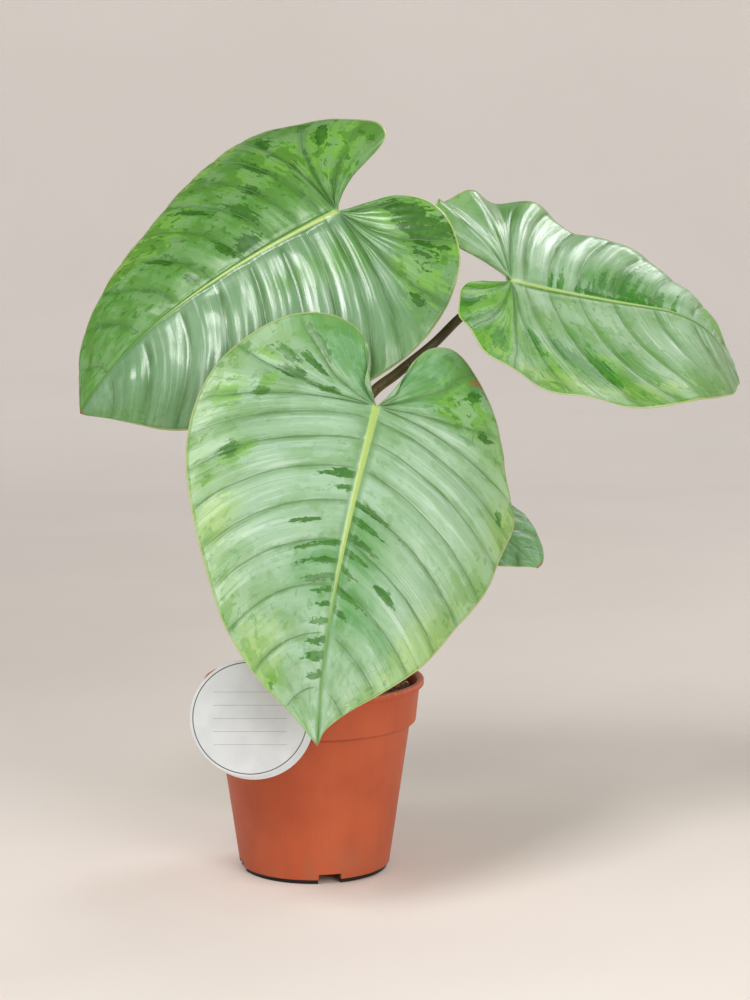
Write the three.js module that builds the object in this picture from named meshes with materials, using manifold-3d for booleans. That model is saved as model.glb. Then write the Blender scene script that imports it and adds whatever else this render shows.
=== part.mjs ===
// A potted philodendron: four heart-shaped, pleated leaves on long stalks, rooted in a 12 cm
// nursery pot with a round plant tag. Millimetres, +Z up, the origin at the middle of the pot's base,
// and -Y is the side that the large front leaf hangs over.
import * as THREE from 'three';
import { mergeVertices } from 'three/addons/utils/BufferGeometryUtils.js';
import Module from 'manifold-3d';

const manifoldLibrary = await Module();
manifoldLibrary.setup();

// Driving dimensions
const gap = 0.3;
const pot = {
  height: 105,
  lipRadius: 60,
  lipHeight: 3.4,
  collarTop: 57.7,
  collarFoot: 55.6,
  collarHeight: 23.2,
  bodyTop: 52.6,
  bodyFoot: 41.2,
  wall: 1.4,
  skirt: 2.4,
  footRing: 39.9,
  footRingWidth: 2.2,
  restRadius: 22,
  channelHeight: 4.6,
  sides: 48,
};
const notch = { count: 4, width: 12.4, height: 5.6, first: -77 };
const drainHole = { count: 8, radius: 3.2, ring: 30, first: 22.5 };
const soil = { level: 99.5, crown: 4.5, lump: 2.2, rings: 8, sides: 40, seed: 11 };
const stem = {
  height: 128,
  foot: 80,
  radius: 6.4,
  taper: 0.3,
  ring: 0.5,
  lean: [-1, 1],
  nodes: 4,
  sides: 12,
};
const tag = { radius: 31.3, thickness: 0.9, sides: 48, centre: [-31.8, -64.6, 96.5] };
const tagBack = { aside: 1.9, lower: 1.6, pressed: 0.9 };
const strap = { width: 8, thickness: 1, foot: 72, point: 6, inside: -30.5, behindTag: 8 };

// A blade's mesh: its rows lie at these shares of each vein, and its columns are veins and the pleats
// between them. The fan of veins that start at the stalk reaches this share of the margin.
const blade = {
  thickness: 0.8,
  rows: [0, 0.035, 0.25, 0.5, 0.75, 1],
  fanShare: 0.44,
  fanSteps: 4,
  veinSteps: 2,
  veinCrowding: 1.45,
  veinBend: { fanAlong: 0.35, along: 0.14, out: 0.66 },
  pleatSwell: 3.4,
  pleatAtMargin: 0.3,
  curlShare: 0.16,
  farCurl: 0.5,
  ribHalfWidth: 2.6,
  calmNotch: 0.2,
  calmTip: 6,
};

// The leaves. An outline is half a heart in millimetres, from the notch at the stalk round the lobe to
// the tip: [along the midrib, out from it]. Left and right are as seen from above, facing the tip.
// Each roll bends the flat blade over a line, in degrees.
const leaves = {
  front: {
    junction: [34.1, -32, 256.6],
    heading: -106,
    pitch: -51,
    tilt: -24,
    length: 189,
    bow: -2,
    hook: 8,
    left: [
      [-2, 3], [-8, 8], [-20, 10.5], [-34, 15], [-45, 23], [-48.5, 34], [-40, 50], [-22, 69], [-4, 77],
      [8, 80.5], [19, 88], [28, 95], [38, 96], [57, 90], [85, 82], [110, 68], [134, 52], [153, 33],
      [170, 13], [181, 3], [189, 0],
    ],
    right: [
      [-2, 3], [-8, 8.5], [-23, 9], [-37, 12], [-46, 21], [-49, 34], [-45, 54], [-31, 72], [-6, 87],
      [23, 93], [51, 90], [84, 79], [115, 65], [140, 52], [162, 33], [178, 12], [189, 0],
    ],
    basalVeins: 4,
    lateralVeins: 9,
    pleat: 1.3,
    ripple: { depths: [1.2, 1.2], count: 5, spread: 1, start: 0.3 },
    curl: 7,
    rib: 2.4,
    rolls: [
      { toward: 90, from: 0, over: 90, by: -36 },
      { toward: -90, from: 0, over: 90, by: -14 },
      { toward: 0, from: 10, over: 170, by: -14 },
    ],
  },
  left: {
    junction: [12.5, 38, 357.4],
    heading: -164,
    pitch: -30,
    tilt: -48,
    length: 183,
    bow: -6,
    hook: 2,
    left: [
      [-2, 3], [-12, 7], [-27, 9], [-39, 17.5], [-46, 30.5], [-46, 45], [-38, 64.5], [-20, 80.5], [0, 90],
      [20, 96], [46, 98], [73, 93], [102, 81.5], [128, 68.5], [148, 51], [161, 32.5], [171, 17.5],
      [180, 5], [183, 0],
    ],
    right: [
      [-2, 4], [-10, 14.5], [-24, 20], [-41, 22], [-51, 29.5], [-52, 41], [-39, 57], [-16, 79.5],
      [0, 94], [14, 95.5], [40, 85.5], [71, 73.5], [109, 54], [136, 41], [153, 32.5], [166, 21.5],
      [175, 9], [183, 0],
    ],
    basalVeins: 4,
    lateralVeins: 9,
    pleat: 1.7,
    ripple: { depths: [1, 1], count: 4, spread: 1, start: 0.1 },
    curl: 0,
    rib: 2.4,
    rolls: [
      { toward: 90, from: 0, over: 90, by: -20 },
      { toward: -90, from: 0, over: 90, by: -29 },
      { toward: 0, from: 110, over: 70, by: -20 },
      { toward: 0, from: 0, over: 180, by: -15 },
    ],
  },
  right: {
    junction: [108, 30, 320],
    heading: 19,
    pitch: -17,
    tilt: 42.5,
    length: 170,
    bow: 4.7,
    hook: 0,
    left: [
      [-2, 3], [-6.5, 8], [-17, 10], [-30, 14], [-40, 23.5], [-44, 36], [-40, 51], [-26, 65], [-4, 75],
      [18, 79], [45, 76], [69, 67], [94, 55], [119, 41], [142, 23.5], [158, 9], [170, 0],
    ],
    right: [
      [-2, 3], [-9, 5.5], [-20, 9], [-30, 16], [-35, 30], [-35, 45], [-27, 60], [-10, 75], [13, 83],
      [42, 85], [65, 83.5], [91, 77], [109, 65], [125, 51.5], [142, 35.5], [159, 13], [170, 0],
    ],
    basalVeins: 4,
    lateralVeins: 8,
    pleat: 1.6,
    ripple: { depths: [3.7, 1.6], count: 16.4, spread: 0.2, start: 0.12 },
    curl: 0,
    rib: 2.1,
    rolls: [
      { toward: 90, from: 0, over: 75, by: -10.5 },
      { toward: -90, from: 0, over: 75, by: 3.5 },
      { toward: 62.5, from: 78, over: 20, by: -52 },
      { toward: 0, from: 88, over: 55, by: -50 },
      { toward: 0, from: 0, over: 90, by: 11 },
    ],
  },
  small: {
    junction: [70.8, 10, 201.9],
    heading: -25,
    pitch: -24.5,
    tilt: 27,
    length: 65,
    bow: 0,
    hook: -1,
    left: [
      [-1.5, 2], [-4.5, 4.5], [-10, 6], [-16, 11], [-17, 19], [-11, 27], [0, 32], [15, 34], [31, 31.5],
      [45, 26], [55, 19], [62, 11], [65, 4], [65, 0],
    ],
    right: [
      [-1.5, 2], [-4.5, 4.5], [-10, 6], [-16, 11], [-17, 19], [-11, 27], [0, 32], [15, 33], [31, 28.5],
      [45, 20], [55, 11], [61.5, 4], [65, 0],
    ],
    basalVeins: 3,
    lateralVeins: 6,
    pleat: 0.8,
    ripple: { depths: [0.8, 0.8], count: 3, spread: 1, start: 0.2 },
    curl: 0,
    rib: 1.5,
    rolls: [
      { toward: 90, from: 0, over: 33, by: -29 },
      { toward: -90, from: 0, over: 33, by: -29 },
      { toward: 0, from: 9, over: 62, by: -23 },
    ],
  },
};

// The stalks: the points that each one follows from the soil to a point under its own blade, where the
// last stretch is worked out, and its radii at the root and at the blade.
const stalks = {
  left: {
    points: [
      [-8.4, 8.4, 84], [-8.8, 9.3, 114], [-5, 24, 190], [3, 39, 262], [11, 51, 320], [14, 53.5, 339],
    ],
    radii: [4.4, 2.9],
  },
  front: {
    points: [[2.4, -11.5, 84], [3, -11.4, 114], [8, -13, 170], [17, -13, 212], [26, -13, 237]],
    radii: [4.3, 2.9],
  },
  right: {
    points: [
      [11.7, -2, 84], [11.7, -2, 114], [15, 1, 190], [29, 6, 256], [46, 10, 271], [65, 15, 286],
      [81, 22, 301], [92, 29.5, 307.5],
    ],
    radii: [4.2, 2.3],
  },
  small: {
    points: [[4, 10.6, 84], [4.8, 11.4, 114], [20, 20, 160], [46, 21, 187]],
    radii: [3, 1.8],
  },
};
const stalkSides = 10;
const stalkSteps = 18;
const stalkNarrowing = 0.8;
const stalkHole = { clearance: 1.1, depth: 30 };

// A stalk ends under the rib a little way along the blade, narrowed, and comes up to it from below
const stalkEnd = { along: 3.5, narrowed: 0.6, drop: 0.45, run: [-2.4, 0, -8] };

// Colours, roughness and metalness
const finishes = {
  terracotta: { color: 0xb65737, roughness: 0.42, metalness: 0 },
  silverLeaf: { color: 0x9fc496, roughness: 0.34, metalness: 0 },
  greenLeaf: { color: 0x86b06a, roughness: 0.36, metalness: 0 },
  stalk: { color: 0x564f29, roughness: 0.5, metalness: 0 },
  bark: { color: 0x5a4a2c, roughness: 0.8, metalness: 0 },
  earth: { color: 0x4b311f, roughness: 0.95, metalness: 0 },
  card: { color: 0xe7eae9, roughness: 0.4, metalness: 0 },
};

const plant = new THREE.Group();

function addPiece(name, geometry, finish) {
  const piece = new THREE.Mesh(geometry, new THREE.MeshStandardMaterial(finishes[finish]));
  piece.name = name;
  plant.add(piece);
  return piece;
}

const radians = THREE.MathUtils.degToRad;

// Solids for cutting and joining
function toSolid(geometry) {
  const bare = geometry.clone();
  bare.deleteAttribute('normal');
  bare.deleteAttribute('uv');
  const merged = mergeVertices(bare, 1e-4);
  return new manifoldLibrary.Manifold(new manifoldLibrary.Mesh({
    numProp: 3,
    vertProperties: new Float32Array(merged.attributes.position.array),
    triVerts: new Uint32Array(merged.index.array),
  }));
}

function toGeometry(solid) {
  const mesh = solid.getMesh();
  const geometry = new THREE.BufferGeometry();
  geometry.setAttribute('position', new THREE.BufferAttribute(mesh.vertProperties, 3));
  geometry.setIndex(new THREE.BufferAttribute(mesh.triVerts, 1));
  return geometry;
}

// A repeatable draw between 0 and 1
function seededDraw(seed) {
  let state = seed;
  return () => {
    state = (state * 16807) % 2147483647;
    return state / 2147483647;
  };
}

// Pot: a turned section, from the middle of the underside round the wall and back to the middle
function potGeometry() {
  const wallFoot = pot.bodyFoot - pot.wall;
  const collarStart = pot.height - pot.collarHeight;
  const lipUnder = pot.height - pot.lipHeight;
  const ringInner = pot.footRing - pot.footRingWidth;
  const floorTop = pot.channelHeight + pot.wall;
  const section = [
    [0, 0],
    [pot.restRadius, 0],
    [pot.restRadius + 2, pot.channelHeight],
    [ringInner - 1.2, pot.channelHeight],
    [ringInner, 0],
    [pot.footRing, 0],
    [pot.footRing, pot.skirt],
    [pot.bodyFoot, pot.skirt],
    [pot.bodyTop, collarStart - 0.4],
    [pot.collarFoot, collarStart],
    [pot.collarTop, lipUnder - 0.4],
    [pot.lipRadius, lipUnder],
    [pot.lipRadius, pot.height - 0.8],
    [pot.lipRadius - 0.8, pot.height],
    [pot.collarTop - 0.2, pot.height],
    [pot.collarTop - pot.wall, pot.height - 1.4],
    [pot.collarFoot - pot.wall, collarStart + 1],
    [pot.bodyTop - pot.wall, collarStart - 2],
    [wallFoot, floorTop + 1],
    [wallFoot - 2.4, floorTop],
    [pot.restRadius + 1, floorTop],
    [pot.restRadius - 1, pot.wall],
    [0, pot.wall],
  ];
  const turned = new THREE.LatheGeometry(section.map(([r, z]) => new THREE.Vector2(r, z)), pot.sides);
  turned.rotateX(Math.PI / 2);
  let solid = toSolid(turned);
  for (let i = 0; i < notch.count; i += 1) {
    const cutter = new THREE.BoxGeometry(12, notch.width, notch.height * 2);
    cutter.translate(pot.footRing, 0, 0);
    cutter.rotateZ(radians(notch.first + (360 / notch.count) * i));
    solid = solid.subtract(toSolid(cutter));
  }
  for (let i = 0; i < drainHole.count; i += 1) {
    const drill = new THREE.CylinderGeometry(drainHole.radius, drainHole.radius, 20, 12);
    drill.rotateX(Math.PI / 2);
    drill.translate(drainHole.ring, 0, pot.channelHeight);
    drill.rotateZ(radians(drainHole.first + (360 / drainHole.count) * i));
    solid = solid.subtract(toSolid(drill));
  }
  return toGeometry(solid);
}

// Inner radius of the pot's wall at a height above its floor
function potInside(z) {
  const collarStart = pot.height - pot.collarHeight;
  if (z > collarStart + 1) {
    return pot.collarFoot - pot.wall;
  }
  const foot = pot.channelHeight + pot.wall + 1;
  const rise = THREE.MathUtils.clamp((z - foot) / (collarStart - 2 - foot), 0, 1);
  return THREE.MathUtils.lerp(pot.bodyFoot, pot.bodyTop, rise) - pot.wall;
}

// Soil: the filled inside, with a crumbly crown
function soilGeometry() {
  const draw = seededDraw(soil.seed);
  const collarStart = pot.height - pot.collarHeight;
  const floor = pot.channelHeight + pot.wall + 1 + gap;
  const section = [
    [0, floor],
    [potInside(floor) - gap - 1, floor],
    [potInside(floor) - gap, floor + 1.5],
    [potInside(collarStart - 2) - gap, collarStart - 2],
    [potInside(collarStart + 2) - gap, collarStart + 1.6],
    [potInside(soil.level) - gap, soil.level - 1],
  ];
  for (let i = soil.rings - 1; i >= 1; i -= 1) {
    const out = i / soil.rings;
    section.push([(potInside(soil.level) - gap - 1.5) * out, soil.level + soil.crown * (1 - out * out)]);
  }
  section.push([0, soil.level + soil.crown]);
  const turned = new THREE.LatheGeometry(section.map(([r, z]) => new THREE.Vector2(r, z)), soil.sides);
  turned.rotateX(Math.PI / 2);
  const heaped = mergeVertices(withoutShading(turned), 1e-4);
  const position = heaped.attributes.position;
  for (let i = 0; i < position.count; i += 1) {
    if (position.getZ(i) > soil.level) {
      position.setZ(i, position.getZ(i) + (draw() - 0.35) * soil.lump);
    }
  }
  return heaped;
}

function withoutShading(geometry) {
  geometry.deleteAttribute('normal');
  geometry.deleteAttribute('uv');
  return geometry;
}

// A round rod bent along a curve, with a radius for any place on it. Its ends are closed.
function rodGeometry(curve, radiusAt, sides, steps) {
  const rod = withoutShading(new THREE.CylinderGeometry(1, 1, 1, sides, steps));
  const frames = curve.computeFrenetFrames(steps, false);
  const position = rod.attributes.position;
  const place = new THREE.Vector3();
  for (let i = 0; i < position.count; i += 1) {
    const along = THREE.MathUtils.clamp(0.5 - position.getY(i), 0, 1);
    const step = Math.round(along * steps);
    const radius = radiusAt(along);
    curve.getPointAt(along, place);
    place.addScaledVector(frames.normals[step], position.getX(i) * radius);
    place.addScaledVector(frames.binormals[step], position.getZ(i) * radius);
    position.setXYZ(i, place.x, place.y, place.z);
  }
  return rod;
}

// Rolls the part of a sheet that lies past a line round a cylinder, as paper over a rail
function rollSheet(point, { toward, from, over, by }) {
  const cosine = Math.cos(radians(toward));
  const sine = Math.sin(radians(toward));
  const out = point.x * cosine + point.y * sine;
  const beside = point.y * cosine - point.x * sine;
  const curvature = radians(by) / over;
  const turn = curvature * THREE.MathUtils.clamp(out - from, 0, over);
  const beyond = Math.max(0, out - from - over);
  const flat = Math.min(out, from) + Math.sin(turn) / curvature + beyond * Math.cos(turn);
  const reach = flat - point.z * Math.sin(turn);
  const height = (1 - Math.cos(turn)) / curvature + beyond * Math.sin(turn) + point.z * Math.cos(turn);
  return new THREE.Vector3(reach * cosine - beside * sine, reach * sine + beside * cosine, height);
}

// Blade: a heart split into two halves of veins. A vein runs from the midrib, or from the stalk in the
// lobe, to the margin. Between veins the blade stands up in pleats, and under the midrib runs a rib.
function bladeGeometry(leaf) {
  const fanColumns = leaf.basalVeins * blade.fanSteps;
  const columns = fanColumns + leaf.lateralVeins * blade.veinSteps;
  const margins = [leaf.left, leaf.right].map((outline) => {
    const points = outline.map(([along, out]) => new THREE.Vector3(along, out, 0));
    return new THREE.CatmullRomCurve3(points, false, 'centripetal');
  });

  function sheetPoint(half, column, share, face) {
    const side = half === 0 ? 1 : -1;
    const inFan = column < fanColumns;
    const pastFan = (column - fanColumns) / (columns - fanColumns);
    const vein = inFan ? column / blade.fanSteps : (column - fanColumns) / blade.veinSteps;
    const fanReach = (blade.fanShare * column) / fanColumns;
    const reach = inFan ? fanReach : THREE.MathUtils.lerp(blade.fanShare, 1, pastFan);
    const root = inFan ? 0 : leaf.length * pastFan ** blade.veinCrowding;
    const end = margins[half].getPointAt(reach);
    const fanward = Math.min(1, reach / blade.fanShare);
    const lean = THREE.MathUtils.lerp(blade.veinBend.fanAlong, blade.veinBend.along, fanward);
    const bendAlong = root + lean * (end.x - root);
    const bendOut = blade.veinBend.out * end.y;
    const rest = 1 - share;
    const along = rest * rest * root + 2 * rest * share * bendAlong + share * share * end.x;
    const out = 2 * rest * share * bendOut + share * share * end.y;
    const forward = THREE.MathUtils.clamp(along / leaf.length, 0, 1);
    const sweep = leaf.bow * Math.sin(Math.PI * forward) + leaf.hook * forward ** 4;
    const crest = 0.5 - 0.5 * Math.cos(2 * Math.PI * vein);
    const swell = blade.pleatSwell * share * rest + blade.pleatAtMargin * share;
    const rise = Math.min(1, reach / blade.calmNotch) ** 2 * (1 - reach ** blade.calmTip);
    const phase = leaf.ripple.count * reach ** leaf.ripple.spread + leaf.ripple.start;
    const wave = rise * Math.sin(2 * Math.PI * phase);
    const notchSide = Math.max(0, 1 - reach / blade.curlShare);
    let height = leaf.pleat * crest * swell + leaf.ripple.depths[half] * wave * share * share;
    height += leaf.curl * notchSide * notchSide * share * (half === 1 ? 1 : blade.farCurl);
    if (face === 'under') {
      const ribFall = Math.max(0, 1 - out / blade.ribHalfWidth) * (1 - forward ** 2);
      height -= blade.thickness + leaf.rib * ribFall;
    }
    return leaf.rolls.reduce(rollSheet, new THREE.Vector3(along, side * out + sweep, height));
  }

  const corners = [];
  function addTriangle(a, b, c) {
    const edge = new THREE.Vector3().subVectors(b, a);
    const area = edge.cross(new THREE.Vector3().subVectors(c, a)).length();
    if (area > 1e-4) {
      corners.push(a.x, a.y, a.z, b.x, b.y, b.z, c.x, c.y, c.z);
    }
  }
  function addQuad(a, b, c, d, turned) {
    addTriangle(a, turned ? c : b, turned ? b : c);
    addTriangle(a, turned ? d : c, turned ? c : d);
  }

  for (const half of [0, 1]) {
    const mirrored = half === 1;
    const grid = { top: [], under: [] };
    for (const face of ['top', 'under']) {
      for (let i = 0; i <= columns; i += 1) {
        grid[face].push(blade.rows.map((share) => sheetPoint(half, i, share, face)));
      }
    }
    for (const face of ['top', 'under']) {
      const turned = mirrored !== (face === 'under');
      for (let i = 0; i < columns; i += 1) {
        for (let j = 0; j < blade.rows.length - 1; j += 1) {
          const near = grid[face][i];
          const next = grid[face][i + 1];
          addQuad(near[j], next[j], next[j + 1], near[j + 1], turned);
        }
      }
    }
    const { top, under } = grid;
    const last = blade.rows.length - 1;
    for (let i = 0; i < columns; i += 1) {
      addQuad(top[i][last], top[i + 1][last], under[i + 1][last], under[i][last], mirrored);
    }
    for (let j = 0; j < last; j += 1) {
      addQuad(top[0][j], top[0][j + 1], under[0][j + 1], under[0][j], mirrored);
    }
  }
  const sheet = new THREE.BufferGeometry();
  sheet.setAttribute('position', new THREE.Float32BufferAttribute(corners, 3));
  return mergeVertices(sheet, 1e-3);
}

function addBlade(name, leaf, finish) {
  const piece = addPiece(name, bladeGeometry(leaf), finish);
  piece.position.set(...leaf.junction);
  piece.rotation.set(radians(leaf.tilt), -radians(leaf.pitch), radians(leaf.heading), 'ZYX');
  piece.updateMatrixWorld();
  return piece;
}

// Stalk: from its hole in the soil to a seat under the rib of its blade
function stalkCurve(stalk, leaf, piece) {
  const underRib = blade.thickness + leaf.rib + gap + stalkEnd.drop;
  const seat = leaf.rolls.reduce(rollSheet, new THREE.Vector3(stalkEnd.along, 0, -underRib));
  const below = seat.clone().add(new THREE.Vector3(...stalkEnd.run));
  const points = stalk.points.map((place) => new THREE.Vector3(...place));
  points.push(piece.localToWorld(below), piece.localToWorld(seat));
  return new THREE.CatmullRomCurve3(points, false, 'centripetal');
}

function stalkRadius(stalk, along) {
  const radius = THREE.MathUtils.lerp(stalk.radii[0], stalk.radii[1], along ** stalkNarrowing);
  return along > 1 - 0.5 / stalkSteps ? radius * stalkEnd.narrowed : radius;
}

// Stem: short and upright, with a ring at each node
function stemGeometry() {
  const curve = new THREE.CatmullRomCurve3([
    new THREE.Vector3(0, 0, stem.foot),
    new THREE.Vector3(0, 0, soil.level),
    new THREE.Vector3(stem.lean[0] / 2, stem.lean[1] / 2, (soil.level + stem.height) / 2),
    new THREE.Vector3(stem.lean[0], stem.lean[1], stem.height),
  ], false, 'centripetal');
  const stepsPerNode = 4;
  const steps = stem.nodes * stepsPerNode;
  const ringed = (along) => {
    const ring = Math.round(along * steps) % stepsPerNode === 1 ? stem.ring : 0;
    return stem.radius * (1 - stem.taper * along ** 3) + ring;
  };
  return rodGeometry(curve, ringed, stem.sides, steps);
}

// A plain hole in the soil, from just under a foot up into the open
function holeSolid(foot, radius, sides) {
  const line = new THREE.LineCurve3(
    foot.clone().add(new THREE.Vector3(0, 0, -gap)),
    foot.clone().add(new THREE.Vector3(0, 0, stalkHole.depth)),
  );
  return toSolid(rodGeometry(line, () => radius, sides, 1));
}

// Tag: two round cards one behind the other, on a strap that lies over the pot's lip
function tagGeometry() {
  const disc = () => new THREE.CylinderGeometry(tag.radius, tag.radius, tag.thickness, tag.sides);
  const front = toSolid(disc());
  const back = toSolid(disc().translate(tagBack.aside, tag.thickness * tagBack.pressed, -tagBack.lower));
  return toGeometry(front.add(back));
}

function strapGeometry() {
  const front = tag.centre[1] + tag.thickness * (tagBack.pressed + 0.5) + gap;
  const low = tag.centre[2] - strap.behindTag;
  const top = pot.height + gap;
  const outline = new THREE.Shape([
    [front, low],
    [front + strap.thickness, low],
    [front + strap.thickness, top],
    [strap.inside, top],
    [strap.inside, strap.foot + strap.point],
    [strap.inside + strap.thickness / 2, strap.foot],
    [strap.inside + strap.thickness, strap.foot + strap.point],
    [strap.inside + strap.thickness, top],
    [strap.inside, top + strap.thickness],
    [front + strap.thickness, top + strap.thickness],
    [front, top],
  ].map(([y, z]) => new THREE.Vector2(y, z)));
  const band = new THREE.ExtrudeGeometry(outline, { depth: strap.width, bevelEnabled: false });
  band.rotateX(Math.PI / 2);
  band.rotateZ(Math.PI / 2);
  return band;
}

// Assembly
addPiece('pot', potGeometry(), 'terracotta');
addPiece('stem', stemGeometry(), 'bark');

const stemFoot = new THREE.Vector3(0, 0, stem.foot);
const holes = [holeSolid(stemFoot, stem.radius + stem.ring + gap, stem.sides)];

for (const [name, stalk] of Object.entries(stalks)) {
  const leaf = leaves[name];
  const piece = addBlade(`blade_${name}`, leaf, name === 'small' ? 'greenLeaf' : 'silverLeaf');
  const curve = stalkCurve(stalk, leaf, piece);
  const rod = rodGeometry(curve, (along) => stalkRadius(stalk, along), stalkSides, stalkSteps);
  addPiece(`petiole_${name}`, rod, 'stalk');
  const foot = new THREE.Vector3(...stalk.points[0]);
  holes.push(holeSolid(foot, stalk.radii[0] + stalkHole.clearance, stalkSides));
}

const slotHeight = pot.height - strap.foot;
const slot = new THREE.BoxGeometry(strap.width + 2 * gap, strap.thickness + 2 * gap, slotHeight);
slot.translate(tag.centre[0], strap.inside + strap.thickness / 2, strap.foot - gap + slotHeight / 2);
holes.push(toSolid(slot));

const earth = holes.reduce((heap, hole) => heap.subtract(hole), toSolid(soilGeometry()));
addPiece('soil', toGeometry(earth), 'earth');

addPiece('label_disc', tagGeometry(), 'card').position.set(...tag.centre);
addPiece('label_strap', strapGeometry(), 'card').position.set(tag.centre[0] - strap.width / 2, 0, 0);

export default plant;
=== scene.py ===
import math

import bmesh
import bpy
import numpy as np
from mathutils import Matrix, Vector, noise


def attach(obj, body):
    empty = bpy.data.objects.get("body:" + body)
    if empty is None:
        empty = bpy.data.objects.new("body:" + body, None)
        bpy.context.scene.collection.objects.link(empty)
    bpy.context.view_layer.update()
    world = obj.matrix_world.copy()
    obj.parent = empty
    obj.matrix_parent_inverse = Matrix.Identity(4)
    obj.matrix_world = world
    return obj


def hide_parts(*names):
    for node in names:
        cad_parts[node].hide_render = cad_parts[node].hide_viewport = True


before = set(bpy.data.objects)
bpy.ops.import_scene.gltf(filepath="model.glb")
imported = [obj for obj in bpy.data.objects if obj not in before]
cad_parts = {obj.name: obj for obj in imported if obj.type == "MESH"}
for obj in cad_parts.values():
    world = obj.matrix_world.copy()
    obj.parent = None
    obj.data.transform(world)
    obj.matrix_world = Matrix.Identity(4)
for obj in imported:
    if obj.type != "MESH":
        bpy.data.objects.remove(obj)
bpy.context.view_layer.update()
mm = 0.001
gap = 0.3  # between the model's pieces, in millimetres
seamWidth = 0.002
print("frame loaded:", len(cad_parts), "nodes")


# The view: the photograph's angle, on a 36 mm sensor along the picture's height
camera = {"target": (33.3, 0, 202.5), "distance": 1300, "elevation": 7.6, "lens": 86.44}


def addCamera():
    lift = math.radians(camera["elevation"])
    target = Vector(camera["target"])
    back = Vector((0, -math.cos(lift), math.sin(lift))) * camera["distance"]
    data = bpy.data.cameras.new("camera")
    data.lens = camera["lens"]
    data.sensor_width = 36
    data.clip_start = 0.05
    seat = bpy.data.objects.new("camera", data)
    seat.location = (target + back) * mm
    seat.rotation_euler = (math.radians(90) - lift, 0, 0)
    bpy.context.scene.collection.objects.link(seat)
    bpy.context.scene.camera = seat


addCamera()
print("camera placed")


# Shader sums: a wire is one output in a material's tree, and an expression on wires adds its nodes
class Wire:
    def __init__(self, tree, socket=None):
        self.tree = tree
        self.socket = socket

    def add(self, kind, settings=None, sockets=None, output=0):
        node = self.tree.nodes.new(kind)
        for name, value in (settings or {}).items():
            setattr(node, name, value)
        for name, value in (sockets or {}).items():
            if isinstance(value, Wire):
                self.tree.links.new(value.socket, node.inputs[name])
            else:
                node.inputs[name].default_value = value
        return Wire(self.tree, node.outputs[output])

    def maths(self, operation, *values):
        return self.add("ShaderNodeMath", {"operation": operation}, dict(enumerate(values)))

    def __add__(self, other):
        return self.maths("ADD", self, other)

    def __sub__(self, other):
        return self.maths("SUBTRACT", self, other)

    def __rsub__(self, other):
        return self.maths("SUBTRACT", other, self)

    def __mul__(self, other):
        return self.maths("MULTIPLY", self, other)

    def __truediv__(self, other):
        return self.maths("DIVIDE", self, other)

    def __pow__(self, other):
        return self.maths("POWER", self, other)

    __radd__ = __add__
    __rmul__ = __mul__

    def over(self, other):  # the larger of two masks
        return self.maths("MAXIMUM", self, other)

    def size(self):
        return self.maths("ABSOLUTE", self)

    def ramp(self, low, high, atLow=0.0, atHigh=1.0):  # eases from one value to the other
        limits = {"Value": self, "From Min": low, "From Max": high, "To Min": atLow, "To Max": atHigh}
        return self.add("ShaderNodeMapRange", {"interpolation_type": "SMOOTHSTEP"}, limits)

    def near(self, middle, inner, outer):  # 1 close to a value and 0 away from it
        return (self - middle).size().ramp(inner, outer, 1, 0)

    def join(self, x=0.0, y=0.0, z=0.0):
        return self.add("ShaderNodeCombineXYZ", sockets={0: x, 1: y, 2: z})

    def objectPlace(self):
        return self.add("ShaderNodeTexCoord", output="Object")

    def parts(self):
        split = self.add("ShaderNodeSeparateXYZ", sockets={0: self}).socket.node
        return [Wire(self.tree, socket) for socket in split.outputs]

    def stretched(self, x, y, z):
        return self.add("ShaderNodeVectorMath", {"operation": "MULTIPLY"}, {0: self, 1: (x, y, z)})

    def grain(self, scale, detail=3.0, roughness=0.55, distortion=0.0):
        sockets = {"Vector": self, "Scale": scale, "Detail": detail}
        sockets.update({"Roughness": roughness, "Distortion": distortion})
        return self.add("ShaderNodeTexNoise", sockets=sockets)

    def cells(self, scale):
        return self.add("ShaderNodeTexVoronoi", sockets={"Vector": self, "Scale": scale})

    def tint(self, under, over):  # this mask lays one colour over another
        return self.add("ShaderNodeMix", {"data_type": "RGBA"}, {0: self, 6: under, 7: over}, 2)


def paint(red, green, blue):  # a screen colour, each part from 0 to 255, as linear light
    def straight(level):
        level /= 255
        return level / 12.92 if level <= 0.04045 else ((level + 0.055) / 1.055) ** 2.4
    return (straight(red), straight(green), straight(blue), 1)


def startFinish(name):
    material = bpy.data.materials.new(name)
    material.use_nodes = True
    tree = material.node_tree
    shader = tree.nodes["Principled BSDF"]
    return material, Wire(tree), shader


def endFinish(start, shader, colour, roughness, height=None, depth=1.0, strength=1.0, coat=None):
    links = start.tree.links
    links.new(colour.socket, shader.inputs["Base Color"])
    links.new(roughness.socket, shader.inputs["Roughness"])
    if coat is not None:
        links.new(coat.socket, shader.inputs["Coat Weight"])
    if height is not None:
        sockets = {"Height": height, "Distance": depth * mm, "Strength": strength}
        bump = start.add("ShaderNodeBump", sockets=sockets)
        links.new(bump.socket, shader.inputs["Normal"])


def shadeSmooth(piece, smooth=True):
    piece.data.polygons.foreach_set("use_smooth", [smooth] * len(piece.data.polygons))


def addPiece(name, vertices, faces, finish):  # a smooth piece from vertices in millimetres
    mesh = bpy.data.meshes.new(name)
    mesh.from_pydata([tuple(v) for v in np.asarray(vertices, float) * mm], [], faces)
    mesh.validate()
    mesh.materials.append(finish)
    piece = bpy.data.objects.new(name, mesh)
    shadeSmooth(piece)
    bpy.context.scene.collection.objects.link(piece)
    return piece


def sharpen(piece, angle):
    piece.data.set_sharp_from_angle(angle=math.radians(angle))


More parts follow.
